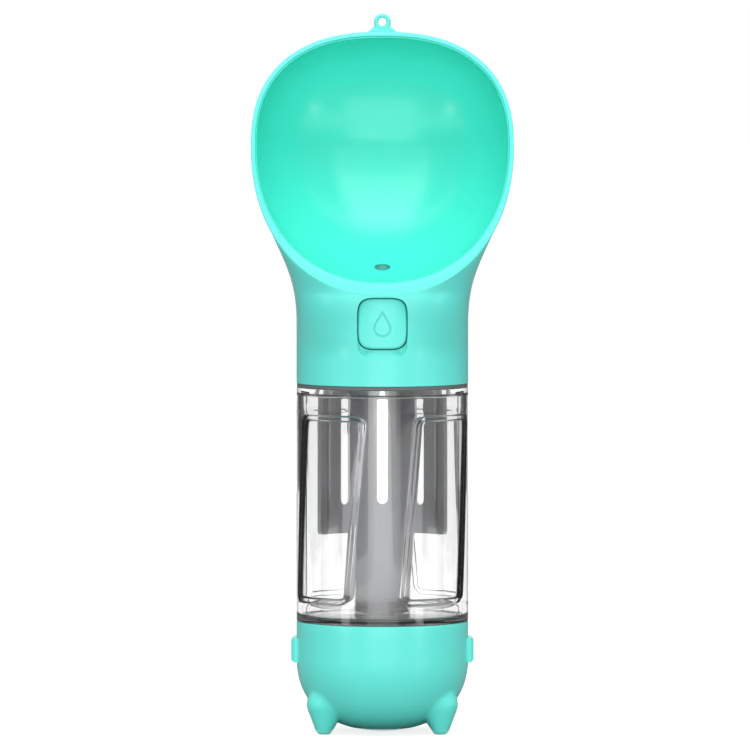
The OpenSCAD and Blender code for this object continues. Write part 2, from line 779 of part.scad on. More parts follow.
module bowl_liner() {
    color(teal_deep) difference() {
        bowl_hollow(liner_wall);
        bowl_hollow(0);
        ahead_of_rim(liner_step);
        translate([0, outlet_y, neck_top]) cylinder(r = outlet_r, h = 20);
    }
}

// ---------- water button and valve ----------

module drop_outline(w) {
    circle(r = w / 2);
    polygon([[-w / 2 * cos(32), w / 2 * sin(32)], [0, w * 0.98], [w / 2 * cos(32), w / 2 * sin(32)]]);
}

module water_button() {
    color(teal) translate([0, 0, button_z]) {
        difference() {
            intersection() {
                translate([0, button_back_y, 0]) rotate([90, 0, 0]) linear_extrude(12)
                    polygon(squircle(button_w, button_h, 4.2, 48));
                translate([0, button_front_r - body_r - 0.3, 0]) rotate([button_lean, 0, 0])
                    cylinder(r = button_front_r, h = 2 * button_h, center = true);
            }
            // engraved drop mark
            translate([0, -body_r + 0.35, -drop_w * 0.24]) rotate([90, 0, 0]) linear_extrude(5)
                difference() {
                    drop_outline(drop_w);
                    translate([0, 0.1]) drop_outline(drop_w - 1.2);
                }
        }
        translate([0, button_back_y + button_flange_t, 0]) rotate([90, 0, 0])
            linear_extrude(button_flange_t) polygon(squircle(button_w + 2.4, button_h - 2, 4.2, 48));
        difference() {
            bar_y(3, button_back_y, button_flange_t + 3);
            bar_y(stem_r + 0.02, stem_front_y - 0.1, 8);
        }
    }
}

module valve_stem() {
    color(inner_white) translate([0, 0, button_z]) {
        bar_y(stem_r, stem_front_y, stem_end_y - stem_front_y);
        bar_y(stem_r + 1, seal_y + seal_t + 0.02, 1);
    }
}

module valve_seal() {
    color(rubber_grey) translate([0, seal_y, button_z]) rotate([-90, 0, 0])
        tube(seat_r + 1.3, stem_r + 0.02, 0, seal_t);
}

module stem_oring() {
    color(rubber_grey) translate([0, barrel_front + gland_t + 0.3, button_z]) rotate([-90, 0, 0])
        tube(stem_r + 1.6, stem_r + 0.06, 0, 1.4);
}

module valve_body() {
    color(inner_white) difference() {
        union() {
            translate([0, 0, deck_z]) cylinder(r = neck_in - 0.3, h = deck_t);
            translate([0, 0, button_z]) bar_y(barrel_r, barrel_front, barrel_back - barrel_front);
            translate([0, inlet_y, deck_z]) cylinder(r = inlet_r + 2, h = button_z - deck_z);
            translate([0, outlet_y, button_z]) cylinder(r = outlet_r + 1.6, h = spout_z - button_z);
        }
        translate([0, 0, button_z]) {
            bar_y(stem_r + run_gap, barrel_front - 1, gland_t + 2);
            bar_y(chamber_r, barrel_front + gland_t, seat_y - barrel_front - gland_t);
            bar_y(seat_r, seat_y - 1, seat_t + 2);
            bar_y(chamber_r, seat_y + seat_t, barrel_back - seat_y);
        }
        translate([0, inlet_y, deck_z - 1]) cylinder(r = inlet_r, h = button_z - deck_z + 1);
        translate([0, outlet_y, button_z]) cylinder(r = outlet_r - 0.2, h = 30);
        for (spot = screw_spots) translate([spot[0], spot[1], deck_z - 1])
            cylinder(r = screw_r + screw_play, h = deck_t + 2);
    }
}

spout_z = neck_top + 5.4;

module spout_seal() {
    color(rubber_grey) translate([0, outlet_y, 0])
        tube(outlet_r + 1.5, outlet_r - 0.1, spout_z + 0.1, 0.9);
}

module valve_cap() {
    color(inner_white) translate([0, 0, button_z]) {
        bar_y(barrel_r - 0.2, barrel_back + 0.05, 2);
        bar_y(chamber_r - 0.9, barrel_back - 1.8, 2);
    }
}

module cap_oring() {
    color(rubber_grey) translate([0, barrel_back - 1.7, button_z]) rotate([-90, 0, 0])
        tube(chamber_r - 0.05, chamber_r - 0.85, 0, 1.4);
}

button_spring_len = spring_end - spring_start;
button_spring_turns = 6;
button_wire = 0.5;
button_coil_r = 4.2;

module button_spring() {
    color(steel) translate([0, spring_start, button_z]) rotate([-90, 0, 0])
        coil(button_coil_r, button_wire, button_spring_len, button_spring_turns);
}

module strainer() {
    color(inner_white) translate([0, inlet_y, deck_z - 1.3]) difference() {
        cylinder(r = inlet_r + 1.6, h = 1.2);
        for (i = [0 : 5]) rotate([0, 0, 60 * i]) translate([2, 0, -1]) cylinder(r = 0.6, h = 4, $fn = 24);
    }
}

module valve_screws() {
    color(steel) for (spot = screw_spots) translate([spot[0], spot[1], deck_z - 0.05])
        rotate([180, 0, 0]) intersection() {
            screw(valve_screw_len);
            translate([0, 0, -20]) cylinder(r = 5, h = 20.9);
        }
}

echo(release_spring_gap = coil_gap(release_wire, release_spring_len, release_spring_turns));
echo(button_spring_gap = coil_gap(button_wire, button_spring_len, button_spring_turns));

base_cup();
bag_holder();
bag_spindle();
bag_core();
bag_roll();
holder_screws();
scoop();
scoop_screws();
release_button_left();
release_button_right();
release_spring_left();
release_spring_right();
tank();
rim_gasket();
neck_seal();
head_shell();
bowl_liner();
water_button();
button_spring();
valve_stem();
valve_seal();
stem_oring();
valve_body();
valve_cap();
cap_oring();
spout_seal();
strainer();
valve_screws();
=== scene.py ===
"""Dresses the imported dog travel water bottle: smooth moulded shells, a clear tank and their finishes."""
import json
import math
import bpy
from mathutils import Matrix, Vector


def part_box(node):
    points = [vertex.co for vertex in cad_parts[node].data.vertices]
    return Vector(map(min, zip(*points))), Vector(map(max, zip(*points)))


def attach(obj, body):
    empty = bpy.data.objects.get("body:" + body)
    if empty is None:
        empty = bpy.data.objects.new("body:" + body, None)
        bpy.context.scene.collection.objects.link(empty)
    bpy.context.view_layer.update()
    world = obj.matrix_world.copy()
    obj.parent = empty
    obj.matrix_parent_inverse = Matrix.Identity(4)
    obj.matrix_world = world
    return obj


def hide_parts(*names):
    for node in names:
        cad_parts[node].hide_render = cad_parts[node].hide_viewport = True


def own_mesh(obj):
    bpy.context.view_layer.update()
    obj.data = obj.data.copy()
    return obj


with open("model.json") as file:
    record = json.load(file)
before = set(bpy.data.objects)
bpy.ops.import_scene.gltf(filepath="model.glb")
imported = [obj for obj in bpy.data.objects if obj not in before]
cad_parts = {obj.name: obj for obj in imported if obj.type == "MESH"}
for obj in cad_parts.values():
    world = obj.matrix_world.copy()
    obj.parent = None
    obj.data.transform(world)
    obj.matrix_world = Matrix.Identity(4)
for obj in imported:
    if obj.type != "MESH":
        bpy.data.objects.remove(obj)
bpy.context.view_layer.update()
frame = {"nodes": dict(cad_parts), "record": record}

from types import SimpleNamespace

import bpy
import numpy as np
from bpy.props import FloatProperty, FloatVectorProperty, PointerProperty
from mathutils import Matrix, Vector

bl_info = {
    "name": "Dog travel water bottle",
    "version": (1, 0, 0),
    "blender": (4, 5, 0),
    "location": "View3D > Sidebar > Bottle",
    "description": "Models and finishes the shells of a dog travel water bottle round its CAD frame",
    "category": "Add Mesh",
}

BASE_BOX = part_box("base_cup")
MM = 0.001
# Corners nearer than this, in metres, become one
WELD = 0.00002

# Places that several pieces share, in millimetres
NECK_FOOT_Z = 139.2
BUTTON_Z = 164.0
OUTLET_Y = -8.0
COLLAR_R = 30.3
TANK_SEAT = 0.3
# Corners round the cutters for holes and slots
CUTTER_CORNERS = 64


# ---------- properties ----------

def length_property(name, description, default):
    return FloatProperty(name=name, description=description, default=default, min=0.0,
                         unit="LENGTH", precision=4)


def colour_property(name, description, default):
    return FloatVectorProperty(name=name, description=description, default=default, min=0.0, max=1.0,
                               size=3, subtype="COLOR")


class BottleSizes(bpy.types.PropertyGroup):
    """Sizes of the modelled shells, in metres"""
    body_r: length_property("Body radius", "Outside radius of neck, tank and base", BASE_BOX[1].x)
    base_h: length_property("Base height", "Height of the base cup's rim", BASE_BOX[1].z)
    base_wall: length_property("Base wall", "Wall of the base cup", 0.002)
    foot_x: length_property("Foot sideways", "Distance of each foot from the middle, sideways", 0.023)
    foot_y: length_property("Foot front to back", "Distance of each foot from the middle, front to back",
                            0.0135)
    tank_h: length_property("Tank height", "Height of the clear wall", 0.0929)
    tank_wall: length_property("Tank wall", "Thickness of the clear wall", 0.0019)
    mouth_r: length_property("Mouth radius", "Outside radius of the tank's mouth", 0.0294)
    window_depth: length_property("Window depth", "How deep a window lies in the wall", 0.0009)
    window_border: length_property("Window border", "Width of a window's stepped border", 0.0028)
    bowl_half: length_property("Bowl half width", "Half the width of the bowl's rim",
                               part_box("head_shell")[1].x)
    rim_round: length_property("Rim rounding", "Radius along the rim's edges", 0.0005)
    scoop_r: length_property("Scoop radius", "Outside radius of the scoop's blade", 0.030)
    scoop_t: length_property("Scoop thickness", "Thickness of the scoop", 0.0015)


class BottleColours(bpy.types.PropertyGroup):
    """Colours of the mouldings"""
    shell: colour_property("Shell", "Glossy teal of head, button and base", (0.13, 0.83, 0.73))
    bowl: colour_property("Bowl", "Deeper teal of the drinking bowl", (0.065, 0.8, 0.64))
    scoop: colour_property("Scoop", "Dark grey of the scoop", (0.42, 0.425, 0.44))
    rubber: colour_property("Rubber", "Dark grey of the seals", (0.12, 0.13, 0.135))


def sizes_in_mm():
    group = bpy.context.scene.bottle_sizes
    names = BottleSizes.__annotations__
    return SimpleNamespace(**{name: getattr(group, name) / MM for name in names})


# ---------- modelling helpers ----------

def deselect_all():
    if bpy.context.object and bpy.context.object.mode != "OBJECT":
        bpy.ops.object.mode_set(mode="OBJECT")
    bpy.ops.object.select_all(action="DESELECT")


def choose(piece):
    deselect_all()
    piece.select_set(True)
    bpy.context.view_layer.objects.active = piece
    return piece


def formed_sheet(name, columns, rows, place):
    """Adds a grid and forms it: place(column, row) says where each corner goes, in millimetres."""
    deselect_all()
    bpy.ops.mesh.primitive_grid_add(x_subdivisions=columns, y_subdivisions=rows, size=2)
    piece = bpy.context.object
    piece.name = piece.data.name = name
    for vert in piece.data.vertices:
        column = round((vert.co.x + 1) / 2 * columns)
        row = round((vert.co.y + 1) / 2 * rows)
        vert.co = Vector(place(column, row)) * MM
    return piece


def joined(name, *pieces):
    deselect_all()
    for piece in pieces:
        piece.select_set(True)
    bpy.context.view_layer.objects.active = pieces[0]
    if len(pieces) > 1:
        bpy.ops.object.join()
    pieces[0].name = pieces[0].data.name = name
    return pieces[0]


def welded(piece):
    """Merges the doubles, closes the seams and turns all faces outwards."""
    choose(piece)
    bpy.ops.object.mode_set(mode="EDIT")
    bpy.ops.mesh.select_all(action="SELECT")
    bpy.ops.mesh.remove_doubles(threshold=WELD)
    bpy.ops.mesh.dissolve_degenerate(threshold=WELD / 4)
    bpy.ops.mesh.select_all(action="SELECT")
    bpy.ops.mesh.fill_holes(sides=0)
    bpy.ops.mesh.normals_make_consistent(inside=False)
    bpy.ops.object.mode_set(mode="OBJECT")
    return piece


def combined(piece, other, operation):
    """Cuts the other piece out of this one, or unites the two."""
    choose(piece)
    modifier = piece.modifiers.new(operation.title(), "BOOLEAN")
    modifier.operation = operation
    modifier.solver = "EXACT"
    modifier.object = other
    bpy.ops.object.modifier_apply(modifier=modifier.name)
    bpy.data.objects.remove(other)
    return piece


def smoothed(piece, angle=35):
    choose(piece)
    bpy.ops.object.shade_smooth_by_angle(angle=math.radians(angle))
    return piece


def finished(piece, body, slot, finish, *nodes):
    """Gives a piece its finish and its body, and hides the CAD nodes that it stands for."""
    piece.data.materials.clear()
    piece.data.materials.append(finish)
    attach(piece, body)
    if nodes:
        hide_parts(*nodes)
    return piece


def spread(low, high, count):
    """Heights from low to high, closer together at both ends."""
    return [low + (high - low) * (0.5 - 0.5 * math.cos(math.pi * i / count)) for i in range(count + 1)]


def even(low, high, count):
    return [low + (high - low) * i / count for i in range(count + 1)]


def quarter_turn(count):
    return even(0, math.pi / 2, count)


def root(value, power):
    """A positive root that keeps the sign of the value."""
    return math.copysign(abs(value) ** power, value)


def clamped(share):
    return min(1.0, max(0.0, share))


def soft_step(share):
    """Runs from 0 to 1, level at both ends."""
    share = clamped(share)
    return share * share * (3 - 2 * share)


def rounded_square(half_w, half_h, power, count=CUTTER_CORNERS):
    """Corners of a rounded square, counter-clockwise from the right."""
    corners = []
    for i in range(count):
        turn = math.tau * i / count
        corners.append((half_w * root(math.cos(turn), 2 / power), half_h * root(math.sin(turn), 2 / power)))
    return corners


def capped_prism(name, corners, point):
    """A closed prism over corners. point(a, b, reach, far) places one corner of the near or far end, and
    reach is 0 where an end closes on its middle."""
    def place(column, row):
        return point(*corners[column % len(corners)], 0 if row in (0, 3) else 1, row >= 2)

    return welded(formed_sheet(name, len(corners), 3, place))


def prism_y(name, corners, y_low, y_high, centre_z):
    """A closed prism along Y over corners in the plane of X and Z."""
    return capped_prism(name, corners, lambda x, z, reach, far: (
        x * reach, y_high if far else y_low, centre_z + z * reach))


def turned(name, columns, profile):
    """A closed piece of revolution from (radius, height) points that start and end on the axis or close."""
    # The seam stands a little beside the front, away from the pieces' planes of symmetry
    seam = 0.37

    def place(column, row):
        turn = math.tau * (column + seam) / columns
        radius, height = profile[row]
        return radius * math.sin(turn), -radius * math.cos(turn), height

    return welded(formed_sheet(name, columns, len(profile) - 1, place))


def outlet_bore(radius, low_z, high_z):
    """Cutter for the way from the valve into the bowl."""
    bore = turned("outlet", 48, [(0, low_z), (radius, low_z), (radius, high_z), (0, high_z)])
    bore.data.transform(Matrix.Translation((0, OUTLET_Y * MM, 0)))
    return bore


# ---------- finishes ----------

class Wire:
    """A shader socket with arithmetic: every operator adds one Math node."""

    def __init__(self, tree, socket):
        self.tree = tree
        self.socket = socket

    def joined_to(self, inlet):
        self.tree.links.new(self.socket, inlet)

    def with_math(self, operation, left, right):
        node = self.tree.nodes.new("ShaderNodeMath")
        node.operation = operation
        for inlet, value in zip(node.inputs, (left, right)):
            if isinstance(value, Wire):
                value.joined_to(inlet)
            else:
                inlet.default_value = value
        return Wire(self.tree, node.outputs[0])

    def __add__(self, other):
        return self.with_math("ADD", self, other)

    def __mul__(self, other):
        return self.with_math("MULTIPLY", self, other)

    __radd__ = __add__
    __rmul__ = __mul__


class Finish:
    """A procedural material in the making."""

    def __init__(self, name, colour, roughness, **fixed):
        self.material = bpy.data.materials.new(name + "_finish")
        self.material.use_nodes = True
        self.tree = self.material.node_tree
        self.shader = self.tree.nodes["Principled BSDF"]
        self.colour = (*colour, 1.0)
        self.shader.inputs["Base Color"].default_value = self.colour
        self.shader.inputs["Roughness"].default_value = roughness
        for name, value in fixed.items():
            self.shader.inputs[name.replace("_", " ")].default_value = value
        self.place = self.node("ShaderNodeTexCoord", outlet="Object")

    def node(self, kind, settings=None, outlet=0, **values):
        node = self.tree.nodes.new(kind)
        for name, value in (settings or {}).items():
            setattr(node, name, value)
        for name, value in values.items():
            inlet = node.inputs[name.replace("_", " ")]
            if isinstance(value, Wire):
                value.joined_to(inlet)
            else:
                inlet.default_value = value
        return Wire(self.tree, node.outputs[outlet])

    def stretched(self, scale):
        """Object coordinates with their own scale along each axis."""
        return self.node("ShaderNodeMapping", Vector=self.place, Scale=scale)

    def noise(self, scale, detail=3.0, across=None):
        return self.node("ShaderNodeTexNoise", Vector=across or self.place, Scale=scale, Detail=detail)

    def feeds(self, socket, wire):
        wire.joined_to(self.shader.inputs[socket])

    def tinted(self, amount, other):
        """Mixes the base colour with another by a wire from 0 to 1."""
        node = self.tree.nodes.new("ShaderNodeMix")
        node.data_type = "RGBA"
        node.inputs[6].default_value = self.colour
        node.inputs[7].default_value = (*other, 1.0)
        amount.joined_to(node.inputs[0])
        self.feeds("Base Color", Wire(self.tree, node.outputs[2]))

    def bumped(self, height, strength, distance):
        self.feeds("Normal", self.node("ShaderNodeBump", Height=height, Strength=strength, Distance=distance))


def moulded(name, colour, roughness, **fixed):
    """Glossy moulded plastic: faint flow marks in the colour, fine haze in the gloss, a soft ripple."""
    finish = Finish(name, colour, roughness, **fixed)
    flow = finish.noise(scale=38.0, across=finish.stretched((1.0, 1.0, 0.35)))
    finish.tinted(flow, scaled(colour, 0.93))
    haze = finish.noise(scale=900.0, detail=2.0)
    finish.feeds("Roughness", haze * 0.07 + (roughness - 0.035) + flow * 0.03)
    finish.bumped(finish.noise(scale=120.0, detail=2.0), strength=0.035, distance=0.0004)


def clear_moulding():
    """Clear plastic of the tank, with a slow ripple from moulding."""
    finish = Finish("clear_plastic", (0.994, 0.996, 0.997), 0.02, IOR=1.57, Transmission_Weight=1.0)
    haze = finish.noise(scale=60.0, detail=2.0)
    finish.feeds("Roughness", haze * 0.02 + 0.008)
    ripple = finish.noise(scale=45.0, detail=1.0, across=finish.stretched((1.0, 1.0, 0.3)))
    finish.bumped(ripple, strength=0.03, distance=0.0006)


def satin_grey(colour):
    """Dark satin plastic of the scoop, with drawn vertical marks in its gloss and lighter vertical bands
    painted into its grey as painted reflections.
    """
    finish = Finish("dark_plastic", colour, 0.32, Metallic=0.72, Coat_Weight=0.25, Coat_Roughness=0.2)
    drawn_and_sheen_streaks = finish.noise(scale=260.0, across=finish.stretched((1.0, 1.0, 0.04)))
    # Painted reflection: lighter grey along the same vertical stripes stands for streaky sheen on the curved
    # scoop; in the roughness the stripes are drawing marks.
    finish.tinted(drawn_and_sheen_streaks, scaled(colour, 1.4))
    finish.feeds("Roughness", drawn_and_sheen_streaks * 0.12 + 0.26)
    finish.bumped(finish.noise(scale=1400.0, detail=2.0), strength=0.02, distance=0.0001)


def matte_rubber(colour):
    finish = Finish("seal_rubber", colour, 0.62)
    grain = finish.noise(scale=1800.0, detail=2.0)
    finish.tinted(grain, scaled(colour, 1.25))
    finish.feeds("Roughness", grain * 0.2 + 0.5)
    finish.bumped(grain, strength=0.12, distance=0.0002)


def drawn_steel(name, roughness):
    finish = Finish(name, (0.62, 0.63, 0.65), roughness, Metallic=1.0)
    lines = finish.noise(scale=900.0, detail=2.0, across=finish.stretched((1.0, 1.0, 0.1)))
    finish.tinted(lines, (0.5, 0.51, 0.53))
    finish.feeds("Roughness", lines * 0.18 + (roughness - 0.09))


def rolled_film():
    """Rolled bags: thin dark film with the edges of its layers along the roll."""
    finish = Finish("bag_film", (0.035, 0.04, 0.045), 0.38)
    layers = finish.noise(scale=420.0, across=finish.stretched((1.0, 0.06, 1.0)))
    finish.tinted(layers, (0.06, 0.065, 0.07))
    finish.feeds("Roughness", layers * 0.25 + 0.3)
    finish.bumped(layers, strength=0.5, distance=0.0004)


def grey_board():
    finish = Finish("core_board", (0.45, 0.3, 0.16), 0.85)
    fibres = finish.noise(scale=700.0, detail=5.0)
    finish.tinted(fibres, (0.36, 0.24, 0.13))
    finish.bumped(fibres, strength=0.3, distance=0.0003)


def scaled(colour, factor):
    return [factor * channel for channel in colour]


def make_finishes():
    colours = bpy.context.scene.bottle_colours
    moulded("teal_plastic", tuple(colours.shell), 0.3, Coat_Weight=0.15, Coat_Roughness=0.1)
    moulded("bowl_plastic", tuple(colours.bowl), 0.24, Coat_Weight=0.3, Coat_Roughness=0.14)
    moulded("inner_plastic", (0.74, 0.78, 0.78), 0.45)
    clear_moulding()
    satin_grey(tuple(colours.scoop))
    matte_rubber(tuple(colours.rubber))
    grey_board()
    rolled_film()
    drawn_steel("screw_steel", 0.3)
    drawn_steel("spring_steel", 0.24)


def finish_named(slot):
    if slot + "_finish" not in bpy.data.materials:
        make_finishes()
    return bpy.data.materials[slot + "_finish"]


# ---------- head ----------

class HeadForm:
    """Curves of the head, in millimetres: the tilted egg of the rim and the levels behind it."""

    foot_z, top_z, mid_z = 175.0, 278.8, 234.0
    up, down = top_z - mid_z, mid_z - foot_z
    lean, lip_out, lip_foot = 28.0, 2.0, 5.0
    bowl_deep, shell_wall, liner_wall, gap = 44.0, 1.7, 1.2, 0.3
    neck_z, neck_top, flare_z, front_flare_z, square_z = NECK_FOOT_Z, 175.5, 162.5, 160.5, 149.5
    # Where the middle of the levels starts to follow the rim, and over what height
    middle_z, middle_run = 171.5, 34.5
    # How far the front of a level may lie ahead of the rim's plane before it is cut off there
    ahead_most = 12.0
    # Powers of the curves: 2 is round, more is squarer
    egg_top, egg_foot = 2.4, 2.15
    front_round, front_squarer, back_squarer, back_run = 2.0, 1.3, 0.25, 50.0
    hollow_foot, hollow_depth, hollow_level = 3.5, 2.2, 2.3
    # Straight wall behind the rim's edge
    wall_straight = 1.3
    # How much of the edge's rounding is left at the foot, and up to which rise it grows
    edge_least, edge_run = 0.24, 0.45
    # Share of the softer of two steps in the flare
    softness = 0.7
    rows, neck_rows, straight_rows, columns = 84, 26, 5, 132
    # Share of a level's points on either side of the front
    front_share = 0.17

    def __init__(self, sizes):
        self.body_r = sizes.body_r
        self.half = sizes.bowl_half
        self.edge = sizes.rim_round
        self.slope = self.lean / (self.top_z - self.foot_z)
        self.forward = Vector((0, -1, self.slope)).normalized()
        self.deep = self.bowl_deep + self.shell_wall + self.liner_wall + self.gap + 1

    def rim_y(self, z):
        return -self.body_r - self.lip_out + self.slope * (z - self.foot_z)

    def egg(self, rise, side):
        """Half width of an egg at rise, from -1 at its foot to 1 at its top."""
        power = self.egg_top if rise > 0 else self.egg_foot
        return side * max(0.0, 1 - abs(rise) ** power) ** (1 / power)

    def eased(self, share):
        """Runs from 0 to 1, between a soft step and a softer one."""
        share = clamped(share)
        softer = share ** 3 * (share * (6 * share - 15) + 10)
        return self.softness * softer + (1 - self.softness) * soft_step(share)

    def fall(self, rise):
        """Share of the depth that is left at a rise above the widest line."""
        return math.sqrt(max(0.0, 1 - min(1.0, rise) ** self.egg_top))

    def rise(self, z):
        return (z - self.mid_z) / (self.up if z > self.mid_z else self.down)

    def flared(self, z, widest):
        """From the neck's radius to the size at the widest line."""
        share = (z - self.flare_z) / (self.mid_z - self.flare_z)
        return self.body_r + (widest - self.body_r) * self.eased(share)

    def outer_half(self, z):
        return self.egg(self.rise(z), self.half) if z > self.mid_z else self.flared(z, self.half)

    def outer_back(self, z):
        mid_back, top_y = self.rim_y(self.mid_z) + self.deep, self.rim_y(self.top_z)
        if z > self.mid_z:
            return top_y + (mid_back - top_y) * self.fall(self.rise(z))
        return self.flared(z, mid_back)

    def outer_mid(self, z):
        return self.rim_y(z) * self.eased((z - self.middle_z) / self.middle_run)

    def front_power(self, z):
        share = (z - self.square_z) / (self.foot_z - self.square_z)
        return self.front_round + self.front_squarer * self.eased(share)

    def outer_level(self, z):
        """Half width, middle, front power, depth ahead of the middle and first angle of one level."""
        half, mid, power = self.outer_half(z), self.outer_mid(z), self.front_power(z)
        if z <= self.foot_z:
            flare = soft_step((z - self.front_flare_z) / (self.foot_z - self.front_flare_z))
            return half, mid, power, mid + self.body_r + self.lip_out * flare, 0.0
        run, least, narrowest = mid - self.rim_y(z), 0.001, 0.05
        share = min(1.0, self.egg(self.rise(z), self.half) / max(half, least))
        narrow = max(0.0, 1 - share ** power) ** (1 / power)
        ahead = max(min(run / max(narrow, narrowest), run + self.ahead_most), least)
        return half, mid, power, ahead, math.acos(clamped(run / ahead) ** (power / 2))

    def outer_point(self, z, share):
        """Point of a level, share running from the front by the right, back and left to the front."""
        half, mid, power, ahead, start = self.outer_level(z)
        if self.front_share <= share <= 1 - self.front_share:
            turn = math.pi * (share - self.front_share) / (1 - 2 * self.front_share)
            soft = 2 + self.back_squarer * self.eased((z - self.neck_top) / self.back_run)
            return Vector((half * root(math.cos(turn), 2 / soft),
                           mid + (self.outer_back(z) - mid) * abs(math.sin(turn)) ** (2 / soft), z))
        side = 1 if share < 0.5 else -1
        part = min(share, 1 - share) / self.front_share
        turn = start + (math.pi / 2 - start) * part
        return Vector((side * half * math.sin(turn) ** (2 / power),
                       mid - ahead * max(0.0, math.cos(turn)) ** (2 / power), z))

    def behind_rim(self, point, least):
        """Moves a point back until it lies at least that far behind the rim's plane."""
        ahead = (point - Vector((0, self.rim_y(self.foot_z), self.foot_z))).dot(self.forward)
        return point - self.forward * (ahead + least) if ahead > -least else point

    def rim_rises(self):
        return spread(-1.0, 1.0, self.rows)

    def rim_edge(self, rise):
        """Rounding of the rim's outer edge, which fades where the rim runs out into the neck."""
        grown = self.eased((rise + 1) / self.edge_run)
        return self.edge * (self.edge_least + (1 - self.edge_least) * grown)

    def outline_point(self, rise, inset, mirrored=False):
        """Point of the rim's outline: inset by a wall all round, and by more at its foot."""
        wall = min(inset, 1) * self.shell_wall
        foot = min(inset, 1) * self.lip_foot
        more = max(0.0, inset - 1)
        z = self.mid_z + rise * ((self.up - wall - more) if rise > 0 else (self.down - foot - more))
        x = self.egg(rise, self.half - wall - more)
        return Vector((-x if mirrored else x, self.rim_y(z), z))

    def hollow_point(self, rise, inset, share):
        """Point of the bowl's hollow at a rise, share running from the right rim to the left one."""
        edge = self.outline_point(rise, inset)
        more = inset - 1
        mid_back = self.rim_y(self.mid_z) + self.bowl_deep + self.liner_wall + self.gap - more
        if rise > 0:
            top_y = self.rim_y(self.outline_point(1.0, inset).z)
            deep = max(0.1, top_y + (mid_back - top_y) * self.fall(rise) - edge.y)
        else:
            left = max(0.0, 1 - (-rise) ** self.hollow_foot)
            deep = (mid_back - self.rim_y(self.mid_z)) * left ** (1 / self.hollow_depth)
        straight = min(self.wall_straight, deep / 2)
        turn, power = math.pi * share, 2 / self.hollow_level
        return Vector((edge.x * root(math.cos(turn), power),
                       edge.y + straight + (deep - straight) * abs(math.sin(turn)) ** power, edge.z))

    def rim_level(self, index):
        """Level of an index that runs up the right side and down the left."""
        return index if index <= self.rows else 2 * self.rows - index

    def rim_frame(self, index, inset):
        """Outline point and outward direction at an index."""
        rises, level = self.rim_rises(), self.rim_level(index)
        here = self.outline_point(rises[level], inset)
        below = self.outline_point(rises[max(0, level - 1)], inset)
        above = self.outline_point(rises[min(self.rows, level + 1)], inset)
        along = above - below
        if level in (0, self.rows):
            along = Vector((1 if level == 0 else -1, 0, 0))
        outward = along.cross(self.forward).normalized()
        if index > self.rows:
            here.x, outward.x = -here.x, -outward.x
        return here, outward

    def edge_strip(self, name, outer_inset, inner_inset, step, outer_round, inner_round):
        """Flat edge of a shell between two outlines, rounded on both sides."""
        steps = 4
        arc = quarter_turn(steps)

        def place(column, row):
            index = column % (2 * self.rows)
            if row <= steps:
                here, outward = self.rim_frame(index, outer_inset)
                turn, size = arc[row], outer_round or self.rim_edge(self.rim_rises()[self.rim_level(index)])
                return (here - self.forward * (step + size * (1 - math.sin(turn)))
                        - outward * size * (1 - math.cos(turn)))
            here, outward = self.rim_frame(index, inner_inset)
            turn, size = arc[row - steps - 1], inner_round
            return (here - self.forward * (step + size * (1 - math.cos(turn)))
                    + outward * size * (1 - math.sin(turn)))

        return formed_sheet(name, 2 * self.rows, 2 * steps + 1, place)

    def hollow_sheet(self, name, inset, behind, columns=96):
        rises = self.rim_rises()

        def place(column, row):
            if column in (0, columns):
                return self.outline_point(rises[row], inset, column > 0) - self.forward * behind
            share = (column - 1) / (columns - 2)
            return self.behind_rim(self.hollow_point(rises[row], inset, share), behind)

        return formed_sheet(name, columns, self.rows, place)

    def outer_sheet(self, name):
        rises = self.rim_rises()
        neck = (even(self.neck_z, self.square_z, self.straight_rows)
                + even(self.square_z, self.foot_z, self.neck_rows - self.straight_rows - 1)[1:])
        first = len(neck) - 1

        def place(column, row):
            share = column / self.columns
            if row <= first:
                point = self.outer_point(neck[row], share)
                return self.behind_rim(point, self.rim_edge(-1)) if row == first else point
            rise = rises[row - first]
            edge = self.rim_edge(rise)
            if column in (0, self.columns):
                return self.outline_point(rise, 0, column > 0) - self.forward * edge
            return self.behind_rim(self.outer_point(self.outline_point(rise, 0).z, share), edge)

        return formed_sheet(name, self.columns, first + self.rows, place)


